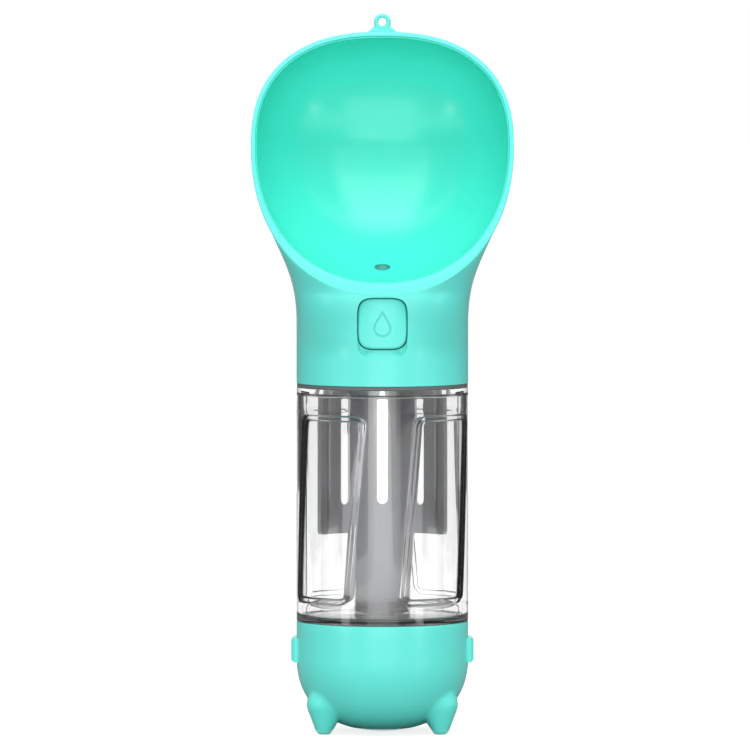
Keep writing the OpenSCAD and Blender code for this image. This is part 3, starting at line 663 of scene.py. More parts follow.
class BOTTLE_OT_head_shell(bpy.types.Operator):
    """Model the head: neck, flare, rim and hanging loop, with the hole for the water button"""
    bl_idname = "bottle.head_shell"
    bl_label = "Head shell"

    loop_hole, loop_r, loop_depth, loop_up, loop_back = 1.6, 3.3, 3.0, 3.9, 0.6
    root_half, root_low, flare_up, flare_power = 6.0, 1.6, 2.4, 1.6
    # The web stays this far inside the eye's faces, and this far outside its hole
    web_in, hole_play = (0.04, 0.12), 0.12
    bore_r, collar_top_z, lead = 31.8, 150.5, 0.35
    hole_half_w, hole_half_h, hole_power = 10.0, 10.4, 4.2
    recess_half_w, recess_half_h, recess_power = 9.9, 10.3, 4.4
    recess_down, recess_low_z, recess_high_z, recess_deep = 3.1, 150.7, 151.5, 1.7
    spout_r, spout_low_z, spout_high_z = 5.2, 174.6, 190.5

    def hanging_loop(self, form):
        """A round eye on a flared root at the top of the rim."""
        eye_columns, eye_rows, web_columns, web_rows = 72, 24, 40, 20
        half_depth = self.loop_depth / 2
        centre_y = form.rim_y(form.top_z) + half_depth + self.loop_back
        centre_z = form.top_z + self.loop_up
        middle, half_r = (self.loop_r + self.loop_hole) / 2, (self.loop_r - self.loop_hole) / 2

        def eye(column, row):
            turn, round_turn = math.tau * column / eye_columns, math.tau * row / eye_rows
            radius = middle + half_r * root(math.cos(round_turn), 0.75)
            return (radius * math.sin(turn), centre_y + half_depth * root(math.sin(round_turn), 0.75),
                    centre_z + radius * math.cos(turn))

        low, flare_high, high = form.top_z - self.root_low, form.top_z + self.flare_up, centre_z - 0.3

        def web(column, row):
            z = low + (high - low) * max(0, min(web_rows, row - 1)) / web_rows
            share = clamped((flare_high - z) / self.flare_up)
            half = self.loop_r - self.web_in[0] + (self.root_half - self.loop_r) * share ** self.flare_power
            turn = math.tau * column / web_columns
            reach = 0 if row in (0, web_rows + 2) else 1
            return (reach * half * root(math.cos(turn), 0.5),
                    centre_y + reach * (half_depth - self.web_in[1]) * root(math.sin(turn), 0.5), z)

        ring = welded(formed_sheet("eye", eye_columns, eye_rows, eye))
        web_piece = welded(formed_sheet("web", web_columns, web_rows + 2, web))
        bore_r = self.loop_hole + self.hole_play
        bore = prism_y("bore", rounded_square(bore_r, bore_r, 2, 48), centre_y - 4, centre_y + 4, centre_z)
        combined(web_piece, bore, "DIFFERENCE")
        return combined(ring, web_piece, "UNION")

    def neck_inside(self, form):
        """Inside of the neck: collar, step and bore, closed above."""
        profile = [(form.body_r, form.neck_z), (form.body_r - self.lead, form.neck_z),
                   (COLLAR_R, form.neck_z), (COLLAR_R, self.collar_top_z), (self.bore_r, self.collar_top_z),
                   (self.bore_r, form.neck_top), (0.0, form.neck_top)]

        def place(column, row):
            point = form.outer_point(form.neck_z, column / form.columns)
            radius, height = profile[row]
            return point.x * radius / form.body_r, point.y * radius / form.body_r, height

        return formed_sheet("neck_inside", form.columns, len(profile) - 1, place)

    def button_recess(self, form):
        """The finger recess below the water button, shallow at its foot."""
        def point(x, z, reach, far):
            height = BUTTON_Z - self.recess_down + z * reach
            share = clamped((height - self.recess_low_z) / (self.recess_high_z - self.recess_low_z))
            inner = -math.sqrt(form.body_r ** 2 - (x * reach) ** 2) + 0.05 + self.recess_deep * share
            return x * reach, inner if far else -form.body_r - 8, height

        corners = rounded_square(self.recess_half_w, self.recess_half_h, self.recess_power)
        return capped_prism("recess", corners, point)

    def execute(self, context):
        form = HeadForm(sizes_in_mm())
        inner_round = 0.4
        shell = joined("head_shell_smooth",
                       form.outer_sheet("outside"),
                       form.edge_strip("rim", 0, 1, 0.0, None, inner_round),
                       form.hollow_sheet("hollow", 1, inner_round),
                       self.neck_inside(form))
        welded(shell)
        hole_corners = rounded_square(self.hole_half_w, self.hole_half_h, self.hole_power, 96)
        hole = prism_y("hole", hole_corners, -60, -20, BUTTON_Z)
        combined(shell, self.button_recess(form), "DIFFERENCE")
        combined(shell, hole, "DIFFERENCE")
        combined(shell, outlet_bore(self.spout_r, self.spout_low_z, self.spout_high_z), "DIFFERENCE")
        shell = joined("head_shell_smooth", shell, self.hanging_loop(form))
        smoothed(shell, 38)
        finished(shell, "head", "teal_plastic", finish_named("teal_plastic"), "head_shell")
        return {"FINISHED"}


class BOTTLE_OT_bowl_liner(bpy.types.Operator):
    """Model the drinking bowl that sits in the head, with its outlet"""
    bl_idname = "bottle.bowl_liner"
    bl_label = "Bowl liner"

    # The liner's edge lies a step behind the rim, softly rounded towards the bowl
    step, soft, outer_round, play = 0.4, 0.3, 0.1, 0.25
    outer_inset = 1.06
    outlet_r, outlet_low_z, outlet_high_z = 3.2, 176.0, 196.0
    columns = 120

    def execute(self, context):
        form = HeadForm(sizes_in_mm())
        inner_inset = 1 + form.gap + self.play
        liner = joined("bowl_liner_smooth",
                       form.hollow_sheet("inside", inner_inset, self.step + self.soft, self.columns),
                       form.edge_strip("edge", self.outer_inset, inner_inset, self.step, self.outer_round,
                                       self.soft),
                       form.hollow_sheet("outside", self.outer_inset, self.step + self.outer_round,
                                         self.columns))
        welded(liner)
        combined(liner, outlet_bore(self.outlet_r, self.outlet_low_z, self.outlet_high_z), "DIFFERENCE")
        smoothed(liner, 38)
        finished(liner, "head", "bowl_plastic", finish_named("bowl_plastic"), "bowl_liner")
        return {"FINISHED"}


class BOTTLE_OT_water_button(bpy.types.Operator):
    """Model the water button with its soft edge and engraved drop"""
    bl_idname = "bottle.water_button"
    bl_label = "Water button"

    half_w, half_h, corner_power = 9.6, 10.0, 4.2
    proud, dome, edge = 0.86, 0.12, 0.9
    # The flange that holds it in the head, and the hub for its spring
    back_y, flange, flange_rise, flange_t, hub, hub_end = -29.3, 1.1, 0.9, 1.2, 0.3, 4.2
    drop_half, drop_line, drop_deep, drop_down = 3.5, 0.7, 0.9, 1.7
    # How far a drop draws in and up towards its tip
    drop_waist, drop_tip = 0.62, 0.95

    def front_y(self, body_r, x, z):
        """The front follows the neck and stands out from it, a little domed."""
        bulge = ((z - BUTTON_Z) / self.half_h) ** 2 + (x / self.half_w) ** 2
        return -math.sqrt(body_r ** 2 - x ** 2) - self.proud + self.dome * bulge

    def drop_cutter(self, body_r):
        """A closed band along the outline of a water drop."""
        count = 72

        def outline(size, column):
            turn = math.tau * column / count
            pull = max(0.0, math.sin(turn)) ** 3
            return (size * math.cos(turn) * (1 - self.drop_waist * pull),
                    size * (math.sin(turn) + self.drop_tip * pull))

        def place(column, row):
            size = self.drop_half if row in (0, 1, 4) else self.drop_half - self.drop_line
            x, z = outline(size, column % count)
            z += BUTTON_Z - self.drop_down
            deep = self.front_y(body_r, x, z) + self.drop_deep
            return x, (deep if row in (1, 2) else -body_r - 6), z

        return welded(formed_sheet("drop", count, 4, place))

    def back_rows(self):
        """Share across, share up and place of the rows of flange and hub."""
        flange_end = self.back_y + self.flange_t
        hub_end = self.back_y + self.hub_end
        return ((1, 1, self.back_y - 0.1), (self.flange, self.flange_rise, self.back_y),
                (self.flange, self.flange_rise, flange_end), (self.hub, self.hub, flange_end),
                (self.hub, self.hub, hub_end), (0, 0, hub_end))

    def execute(self, context):
        sizes = sizes_in_mm()
        outline = rounded_square(1, 1, self.corner_power, 96)
        face = [(share, 0.0) for share in (0, 0.2, 0.4, 0.55, 0.7, 0.82, 0.9)]
        soft = [(1 - self.edge / self.half_h * (1 - math.sin(t)), self.edge * (1 - math.cos(t)))
                for t in quarter_turn(6)]
        rows, back_rows = face + soft, self.back_rows()

        def place(column, row):
            x, z = outline[column % len(outline)]
            if row < len(rows):
                share, back = rows[row]
                x, z = x * share * self.half_w, z * share * self.half_h
                return x, self.front_y(sizes.body_r, x, BUTTON_Z + z) + back, BUTTON_Z + z
            across, up, y = back_rows[row - len(rows)]
            return x * across * self.half_w, y, BUTTON_Z + z * up * self.half_h

        last = len(rows) + len(back_rows) - 1
        button = welded(formed_sheet("water_button_smooth", len(outline), last, place))
        combined(button, self.drop_cutter(sizes.body_r), "DIFFERENCE")
        smoothed(button, 40)
        finished(button, "water_button", "teal_plastic", finish_named("teal_plastic"), "water_button")
        return {"FINISHED"}


# ---------- tank and scoop ----------

class WindowForm:
    """One quarter of the tank's wall, unrolled: a leaning window with round corners."""

    corner, lean, half = 4.6, 7.15, 17.0
    # Clear wall below and above the windows
    wall_below, wall_above = 7.6, 9.9
    # Share of the border that each of its two steps slopes over, and the rows or columns on them
    ramp = 0.32
    steps = even(0, ramp, 4) + even(1 - ramp, 1, 4)
    corner_steps = (0.12, 0.3, 0.55, 1.0)
    # Rows and columns of the plain stretches between
    rows_below, rows_middle, rows_above, columns_beside, columns_middle = 5, 22, 6, 7, 18

    def __init__(self, sizes):
        self.radius = sizes.body_r
        self.depth = sizes.window_depth
        self.border = sizes.window_border
        self.low_z = sizes.base_h + TANK_SEAT
        self.high_z = self.low_z + sizes.tank_h
        self.low, self.high = self.low_z + self.wall_below, self.high_z - self.wall_above
        self.quarter = math.pi / 4 * self.radius

    def heights(self):
        """Rows that follow the border's steps and the round corners."""
        ends = [self.border * step for step in self.steps]
        ends += [self.border + (self.corner - self.border) * share for share in self.corner_steps]
        rising = [self.low + end for end in ends]
        falling = [self.high - end for end in reversed(ends)]
        middle = even(rising[-1], falling[0], self.rows_middle)[1:-1]
        return (even(self.low_z, self.low, self.rows_below)[:-1] + rising + middle + falling
                + even(self.high, self.high_z, self.rows_above)[1:])

    def half_width(self, z, inset):
        """Half width of the outline inset by that much, at a height."""
        low, high, corner = self.low + inset, self.high - inset, self.corner - inset
        z = min(high, max(low, z))
        into = max(0.0, low + corner - z, z - high + corner)
        return self.half - inset - corner + math.sqrt(max(0.0, corner ** 2 - into ** 2))

    def shift(self, z):
        """How far the window's middle leans sideways at a height."""
        share = clamped((z - self.low) / (self.high - self.low))
        fade = min(clamped((z - self.low_z) / self.wall_below), clamped((self.high_z - z) / self.wall_above))
        return self.lean * (share - 0.5) * fade

    def places(self, z):
        """Distances along the wall at a height, from the quarter's left edge to its right edge."""
        halves = [self.half_width(z, self.border * step) for step in self.steps]
        move = self.shift(z)
        left = [move - half for half in halves]
        right = [move + half for half in reversed(halves)]
        return (even(-self.quarter, left[0], self.columns_beside)[:-1] + left
                + even(left[-1], right[0], self.columns_middle)[1:-1]
                + right + even(right[-1], self.quarter, self.columns_beside)[1:])

    def depth_at(self, along, z):
        """Depth of the stepped recess, from the distance inside the outline."""
        if not self.low < z < self.high:
            return 0.0
        across = abs(along - self.shift(z)) - (self.half - self.corner)
        upright = abs(z - (self.low + self.high) / 2) - ((self.high - self.low) / 2 - self.corner)
        outside = math.hypot(max(across, 0), max(upright, 0)) + min(max(across, upright), 0) - self.corner
        inside = clamped(-outside / self.border)
        first, second = inside / self.ramp, (inside - 1 + self.ramp) / self.ramp
        return self.depth / 2 * (soft_step(first) + soft_step(second))


class BOTTLE_OT_tank(bpy.types.Operator):
    """Model the clear tank: stepped windows, mouth with thread rings, floor, skirt and dry pocket"""
    bl_idname = "bottle.tank"
    bl_label = "Tank"

    mouth_h, mouth_wall, mouth_round = 12.2, 2.0, 0.4
    rings, first_ring, pitch = 3, 4.2, 3.2
    ring_foot, ring_crest, ring_proud = 0.9, 0.35, 0.45
    skirt_out_in, skirt_in_in, skirt_deep, skirt_round = 2.4, 3.9, 5.7, 0.3
    floor_up, floor_t, floor_round = 0.4, 1.8, 1.2
    # Shoulder between the wall and the mouth, and the straight stretch of the wall between the bends
    shoulder_t, shoulder_round, straight_in = 2.0, 1.0, 3.6
    pocket_wall, pocket_play, pocket_half, pocket_end, pocket_columns = 0.6, 0.6, 62.5, 76.0, 96
    pocket_top_down = 2.05

    def thread(self, mouth_r, top_z):
        """Profile of the mouth with three rounded thread rings."""
        profile = []
        for ring in range(self.rings):
            middle = top_z + self.first_ring + self.pitch * ring
            profile += [(mouth_r, middle - self.ring_foot),
                        (mouth_r + self.ring_proud, middle - self.ring_crest),
                        (mouth_r + self.ring_proud, middle + self.ring_crest),
                        (mouth_r, middle + self.ring_foot)]
        return profile

    def pocket(self, inner_r, wall_r, floor_z, top_z):
        """Curved inner wall that keeps the scoop dry and runs out into the tank's wall at both sides."""
        half, end = math.radians(self.pocket_half), math.radians(self.pocket_end)
        turns = even(-end, end, self.pocket_columns)

        def place(column, row):
            turn = turns[column]
            radius = inner_r + (wall_r - inner_r) * soft_step((abs(turn) - half) / (end - half))
            if row in (0, 1, 4):
                radius -= self.pocket_wall
            return radius * math.sin(turn), radius * math.cos(turn), top_z if row in (1, 2) else floor_z

        return welded(formed_sheet("pocket", self.pocket_columns, 4, place))

    def foot_profile(self, radius, floor_z, low_z):
        """From the middle of the floor by the skirt out to the wall's foot."""
        skirt_out, skirt_in, edge = radius - self.skirt_out_in, radius - self.skirt_in_in, self.skirt_round
        skirt_z = low_z - self.skirt_deep
        return [(0, floor_z), (skirt_in - 0.1, floor_z), (skirt_in, floor_z - 0.1),
                (skirt_in, skirt_z + edge), (skirt_in + edge, skirt_z),
                (skirt_out - edge, skirt_z), (skirt_out, skirt_z + edge),
                (skirt_out, low_z), (radius - edge, low_z)]

    def head_profile(self, radius, inner, mouth_r, floor_z, high_z):
        """From the wall's top over the mouth and down the inside to the middle of the floor."""
        mouth_in, mouth_top, edge = mouth_r - self.mouth_wall, high_z + self.mouth_h, self.mouth_round
        bend = quarter_turn(5)
        shoulder, foot = self.shoulder_round, self.floor_round
        shoulder_z, foot_z = high_z - self.shoulder_t - shoulder, floor_z + self.floor_t + foot
        return ([(radius - self.skirt_round, high_z), (mouth_r, high_z)]
                + self.thread(mouth_r, high_z)
                + [(mouth_r, mouth_top - edge), (mouth_r - edge, mouth_top), (mouth_in + edge, mouth_top),
                   (mouth_in, mouth_top - edge), (mouth_in, high_z - self.shoulder_t)]
                + [(inner - shoulder + shoulder * math.sin(t), shoulder_z + shoulder * math.cos(t))
                   for t in bend]
                + [(inner, high_z - self.straight_in), (inner, floor_z + self.straight_in)]
                + [(inner - foot + foot * math.cos(t), foot_z - foot * math.sin(t)) for t in bend]
                + [(inner - 2, floor_z + self.floor_t), (0, floor_z + self.floor_t)])

    def execute(self, context):
        sizes = sizes_in_mm()
        form = WindowForm(sizes)
        heights = form.heights()
        places = [form.places(z) for z in heights]
        per_quarter = len(places[0]) - 1
        columns = 4 * per_quarter
        inner, floor_z = form.radius - sizes.tank_wall, sizes.base_h + self.floor_up
        below = self.foot_profile(form.radius, floor_z, form.low_z)
        above = self.head_profile(form.radius, inner, sizes.mouth_r, floor_z, form.high_z)
        rows = len(below) + len(heights) + len(above)

        def place(column, row):
            quarter, along_index = divmod(column, per_quarter)
            if column == columns:
                quarter, along_index = 3, per_quarter
            level = min(len(heights) - 1, max(0, row - len(below)))
            along = places[level][along_index]
            turn = math.pi / 4 + math.pi / 2 * quarter + along / form.radius
            if row < len(below):
                radius, z = below[row]
            elif row < len(below) + len(heights):
                z = heights[level]
                radius = form.radius - form.depth_at(along, z)
            else:
                radius, z = above[row - len(below) - len(heights)]
            return radius * math.sin(turn), -radius * math.cos(turn), z

        tank = welded(formed_sheet("tank_clear", columns, rows - 1, place))
        pocket = self.pocket(sizes.scoop_r - sizes.scoop_t - self.pocket_play, inner - 0.03,
                             floor_z + self.floor_t + 0.05, form.high_z - self.pocket_top_down)
        tank = joined("tank_clear", tank, pocket)
        smoothed(tank, 50)
        finished(tank, "tank", "clear_plastic", finish_named("clear_plastic"), "tank")
        return {"FINISHED"}


class BOTTLE_OT_scoop(bpy.types.Operator):
    """Model the scoop: slotted half-round blade, stem with soft corners and foot disc"""
    bl_idname = "bottle.scoop"
    bl_label = "Scoop"

    blade_half, stem_half, corner = 31.9, 11.8, 1.8
    blade_z, slot_z, slot_w, slot_step = 77.6, 89.0, 4.4, 32.0
    # From the wall's top to the blade's top, and from there to the slots' upper ends
    blade_down, slot_down = 3.0, 1.4
    disc_up, disc_t, disc_round, disc_in = 0.1, 1.6, 0.3, 4.3
    # Columns of the blade beside and across the stem, rows of stem and blade
    wing, core, stem_rows, blade_rows = 14, 18, 16, 30
    # How rows draw together towards the blade's lower edge, and over how many its corners fade
    stem_crowd, blade_crowd, fade_rows = 1.6, 1.3, 8

    def corner_lift(self, into):
        """Height of a round corner at a share of its width."""
        return self.corner * (1 - math.sqrt(max(0.0, 1 - max(0.0, into) ** 2)))

    def sheet(self, radius, foot_z, top_z):
        """The curved sheet, drawn flat: a stem that widens into the blade with round corners."""
        wing, core, stem_rows, blade_rows = self.wing, self.core, self.stem_rows, self.blade_rows
        columns = core + 2 * wing

        def place(column, row):
            if row <= stem_rows:
                z = foot_z + (self.blade_z - foot_z) * (1 - (1 - row / stem_rows) ** self.stem_crowd)
                stem = self.stem_half + self.corner_lift((z - self.blade_z + self.corner) / self.corner)
            else:
                share = (row - stem_rows) / blade_rows
                z = self.blade_z + (top_z - self.blade_z) * share ** self.blade_crowd
                stem = self.stem_half + self.corner
            offset = column - wing
            if 0 <= offset <= core:
                along = stem * (2 * offset / core - 1)
            else:
                beyond = -offset if offset < 0 else offset - core
                reach = stem + (self.blade_half - stem) * math.sin(math.pi / 2 * beyond / wing)
                along = math.copysign(reach, offset)
                lift = self.corner_lift((reach - self.blade_half + self.corner) / self.corner)
                z += lift * max(0.0, 1 - max(0, row - stem_rows) / self.fade_rows)
            turn = along / radius
            return radius * math.sin(turn), radius * math.cos(turn), z

        blade = formed_sheet("scoop_blade", columns, stem_rows + blade_rows, place)
        choose(blade)
        bpy.ops.object.mode_set(mode="EDIT")
        bpy.ops.mesh.select_mode(type="FACE")
        bpy.ops.object.mode_set(mode="OBJECT")
        for face in blade.data.polygons:
            row, column = divmod(face.index, columns)
            face.select = row < stem_rows and not wing <= column < wing + core
        bpy.ops.object.mode_set(mode="EDIT")
        bpy.ops.mesh.delete(type="FACE")
        bpy.ops.object.mode_set(mode="OBJECT")
        return blade

    def slot(self, radius, along, top_z):
        """A cutter for one round-ended slot, pushed out from the axis."""
        half, deep = self.slot_w / 2, 6.0
        arc = even(0, math.pi, 16)
        corners = [(half * math.cos(t), top_z - half + half * math.sin(t)) for t in arc]
        corners += [(-half * math.cos(t), self.slot_z + half - half * math.sin(t)) for t in arc]
        turn = math.radians(along)

        def point(x, z, reach, far):
            y = radius + (deep if far else -deep)
            if not reach:
                x, z = 0, (self.slot_z + top_z) / 2
            return x * math.cos(turn) + y * math.sin(turn), y * math.cos(turn) - x * math.sin(turn), z

        return capped_prism("slot", corners, point)

    def execute(self, context):
        sizes = sizes_in_mm()
        disc_top, disc_r, edge = sizes.base_h + self.disc_up, sizes.body_r - self.disc_in, self.disc_round
        top_z = sizes.base_h + TANK_SEAT + sizes.tank_h - self.blade_down
        blade = self.sheet(sizes.scoop_r, disc_top - self.disc_t / 2, top_z)
        choose(blade)
        modifier = blade.modifiers.new("Wall", "SOLIDIFY")
        modifier.thickness = sizes.scoop_t * MM
        modifier.offset = 1
        bpy.ops.object.modifier_apply(modifier="Wall")
        welded(blade)
        for along in (-self.slot_step, 0, self.slot_step):
            combined(blade, self.slot(sizes.scoop_r, along, top_z - self.slot_down), "DIFFERENCE")
        disc_low = disc_top - self.disc_t
        disc = turned("disc", 128, [(0, disc_low), (disc_r - edge, disc_low), (disc_r, disc_low + edge),
                                    (disc_r, disc_top - edge), (disc_r - edge, disc_top), (0, disc_top)])
        scoop = joined("scoop_smooth", blade, disc)
        smoothed(scoop, 40)
        finished(scoop, "base", "dark_plastic", finish_named("dark_plastic"), "scoop")
        return {"FINISHED"}


# ---------- base and ring ----------

class BOTTLE_OT_base_cup(bpy.types.Operator):
    """Model the base cup: rounded foot that flows into four ear-shaped feet"""
    bl_idname = "bottle.base_cup"
    bl_label = "Base cup"

    # The dome starts this far below the rim and ends this far above the table
    dome_down, dome_power, dome_clear = 14.3, 2.3, 0.6
    # The cup's side is straight above this, and rays that find its form start in its middle
    side_down, centre_down = 13.0, 6.0
    tip_r, tip_flat, top_r, top_z = 3.9, 0.6, 7.0, 12.0
    blend, rim_round = 1.7, 0.4
    columns, cast_rows, inner_rows = 216, 96, 24
    nearest, farthest, halvings = 5.0, 90.0, 26
    slot_half_x, slot_half_y, slot_power, slot_low_z, slot_high_z = 13.0, 2.5, 4.0, -1.0, 8.0
    button_down, button_half_w, button_half_h, button_power, button_from = 11.35, 7.35, 5.3, 14.0, 22.0

    def surface(self, points, sizes):
        """Signed distance from dome and ears together, flowing into each other."""
        dome_mid = sizes.base_h - self.dome_down
        flat = np.hypot(points[..., 0], points[..., 1]) / sizes.body_r
        drop = np.maximum(0.0, dome_mid - points[..., 2]) / (dome_mid - self.dome_clear)
        power = self.dome_power
        dome = ((flat ** power + drop ** power) ** (1 / power) - 1) * sizes.body_r
        away = np.hypot(np.abs(points[..., 0]) - sizes.foot_x, np.abs(points[..., 1]) - sizes.foot_y)
        low_z = self.tip_r - self.tip_flat
        rise, length = points[..., 2] - low_z, self.top_z - low_z
        sine = (self.top_r - self.tip_r) / length
        cosine = math.sqrt(1 - sine ** 2)
        along = rise * cosine + away * sine
        ear = np.where(along < 0, np.hypot(away, rise) - self.tip_r, away * cosine - rise * sine - self.tip_r)
        ear = np.where(along > length * cosine, np.hypot(away, rise - length) - self.top_r, ear)
        mix = np.clip(0.5 + 0.5 * (ear - dome) / self.blend, 0, 1)
        return ear * (1 - mix) + dome * mix - self.blend * mix * (1 - mix)

    def cast(self, directions, sizes, centre):
        """Where rays from the centre leave the surface, found by halving."""
        near, far = np.full(len(directions), self.nearest), np.full(len(directions), self.farthest)
        for _ in range(self.halvings):
            middle = (near + far) / 2
            outside = self.surface(centre + directions * middle[:, None], sizes) > 0
            far, near = np.where(outside, middle, far), np.where(outside, near, middle)
        return centre + directions * ((near + far) / 2)[:, None]

    def outside_rows(self, turns, sizes):
        """Rows of points from the dome's middle up to the straight side."""
        centre = np.array([0, 0, sizes.base_h - self.centre_down])
        last = math.atan2(self.side_down - self.centre_down, sizes.body_r)
        rows = []
        for dip in even(math.pi / 2, last, self.cast_rows):
            directions = np.array([[math.cos(dip) * math.sin(t), -math.cos(dip) * math.cos(t), -math.sin(dip)]
                                   for t in turns])
            row = self.cast(directions, sizes, centre)
            row[:, 2] = np.maximum(row[:, 2], 0.0)
            rows.append(row)
        return rows

    def rim_profile(self, sizes):
        """From the straight side over the rim and down the inside to the middle of the floor."""
        rim, side_z = self.rim_round, sizes.base_h - self.side_down
        inner_r, inner_low = sizes.body_r - sizes.base_wall, self.dome_clear + sizes.base_wall
        mid, power = sizes.base_h - self.dome_down, 2 / self.dome_power
        profile = [(sizes.body_r, z) for z in even(side_z, sizes.base_h - rim, 4)[1:]]
        profile += [(sizes.body_r - rim * (1 - math.cos(t)), sizes.base_h - rim + rim * math.sin(t))
                    for t in quarter_turn(4)[1:]]
        profile += [(inner_r + rim / 2, sizes.base_h), (inner_r, sizes.base_h - rim / 2)]
        profile += [(inner_r * math.cos(t) ** power, mid - (mid - inner_low) * math.sin(t) ** power)
                    for t in quarter_turn(self.inner_rows)]
        return profile

    def bag_slot(self):
        """Cutter for the slot in the dome through which bags are drawn."""
        def point(x, y, reach, far):
            return x * reach, y * reach, self.slot_high_z if far else self.slot_low_z

        corners = rounded_square(self.slot_half_x, self.slot_half_y, self.slot_power)
        return capped_prism("bag_slot", corners, point)

    def side_hole(self, side, sizes):
        """Cutter for a release button's hole, with tight round corners."""
        middle_z, outside_x = sizes.base_h - self.button_down, sizes.body_r + 6

        def point(y, z, reach, far):
            return side * (outside_x if far else self.button_from), side * y * reach, middle_z + z * reach

        corners = rounded_square(self.button_half_w, self.button_half_h, self.button_power)
        return capped_prism("side_hole", corners, point)

    def execute(self, context):
        sizes = sizes_in_mm()
        turns = [math.tau * column / self.columns for column in range(self.columns)]
        outside, above = self.outside_rows(turns, sizes), self.rim_profile(sizes)

        def place(column, row):
            if row < len(outside):
                return tuple(outside[row][column % self.columns])
            radius, z = above[row - len(outside)]
            turn = turns[column % self.columns]
            return radius * math.sin(turn), -radius * math.cos(turn), z

        cup = welded(formed_sheet("base_cup_smooth", self.columns, len(outside) + len(above) - 1, place))
        for side in (-1, 1):
            combined(cup, self.side_hole(side, sizes), "DIFFERENCE")
        combined(cup, self.bag_slot(), "DIFFERENCE")
        smoothed(cup, 42)
        finished(cup, "base", "teal_plastic", finish_named("teal_plastic"), "base_cup")
        return {"FINISHED"}


class BOTTLE_OT_rim_gasket(bpy.types.Operator):
    """Model the dark ring between head and tank"""
    bl_idname = "bottle.rim_gasket"
    bl_label = "Ring between head and tank"

    edge = 0.25

    def execute(self, context):
        low, high = (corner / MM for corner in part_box("rim_gasket"))
        inner, outer, edge = COLLAR_R, high.x, self.edge
        profile = [(inner, low.z), (outer - edge, low.z), (outer, low.z + edge),
                   (outer, high.z - edge), (outer - edge, high.z), (inner, high.z), (inner, low.z)]
        ring = turned("rim_gasket_smooth", 160, profile)
        smoothed(ring, 40)
        finished(ring, "gasket", "seal_rubber", finish_named("seal_rubber"), "rim_gasket")
        return {"FINISHED"}


def travel_of(name):
    """Travel of a sliding joint, in metres."""
    joints = frame["record"]["behaviour"]["joints"]
    return next(joint["range_m"][1] for joint in joints if joint["name"] == name)


class BOTTLE_OT_springs(bpy.types.Operator):
    """Wind the three springs in round wire"""
    bl_idname = "bottle.springs"
    bl_label = "Springs"

    # Radius of the wire in millimetres, and turns
    release_wire, release_turns = 0.3, 4
    button_wire, button_turns = 0.5, 6
    closed_turns, around, per_turn = 0.8, 10, 24

    def coil(self, node, along, wire, turns):
        """A coil in the box of its CAD node, with closed turns at both ends."""
        low, high = (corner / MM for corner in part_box(node))
        across = [axis for axis in range(3) if axis != along]
        centre = (low + high) / 2
        middle = (high[across[0]] - low[across[0]]) / 2 - wire
        start, end = low[along] + wire, high[along] - wire
        rest, steps = self.closed_turns, self.per_turn * turns
        closed = 2 * wire * rest

        def place(column, row):
            turned_by = turns * max(0, min(steps, row - 1)) / steps
            if turned_by < rest:
                level = start + 2 * wire * turned_by
            elif turned_by > turns - rest:
                level = end - 2 * wire * (turns - turned_by)
            else:
                share = (turned_by - rest) / (turns - 2 * rest)
                level = start + closed + (end - start - 2 * closed) * share
            reach = 0 if row in (0, steps + 2) else wire
            turn, round_turn = math.tau * turned_by, math.tau * column / self.around
            radius = middle + reach * math.cos(round_turn)
            point = [0.0, 0.0, 0.0]
            point[along] = level + reach * math.sin(round_turn)
            point[across[0]] = centre[across[0]] + radius * math.cos(turn)
            point[across[1]] = centre[across[1]] + radius * math.sin(turn)
            return tuple(point)

        spring = welded(formed_sheet(node + "_wound", self.around, steps + 2, place))
        return smoothed(spring, 60)

    def execute(self, context):
        steel = finish_named("spring_steel")
        for side, held_end in (("right", 0), ("left", 1)):
            node, joint = "release_spring_" + side, "release_%s_press" % side
            spring = self.coil(node, 0, self.release_wire, self.release_turns)
            finished(spring, "base", "spring_steel", steel, node)
            low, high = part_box(node)
            1 - travel_of(joint) / (high.x - low.x)
            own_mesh(spring)
        spring = self.coil("button_spring", 1, self.button_wire, self.button_turns)
        finished(spring, "head", "spring_steel", steel, "button_spring")
        low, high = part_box("button_spring")
        1 - travel_of("water_press") / (high.y - low.y)
        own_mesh(spring)
        return {"FINISHED"}


class BOTTLE_OT_cad_finishes(bpy.types.Operator):
    """Give every CAD piece that stays the finish of its material slot"""
    bl_idname = "bottle.cad_finishes"
    bl_label = "Finishes of the inner pieces"

    def execute(self, context):
        for part in frame["record"]["subparts"]:
            node = frame["nodes"][part["node"]]
            finish = finish_named(part["material_slot"])
            if not node.material_slots:
                node.data.materials.append(finish)
            for place in node.material_slots:
                place.material = finish
        return {"FINISHED"}


# ---------- stage ----------

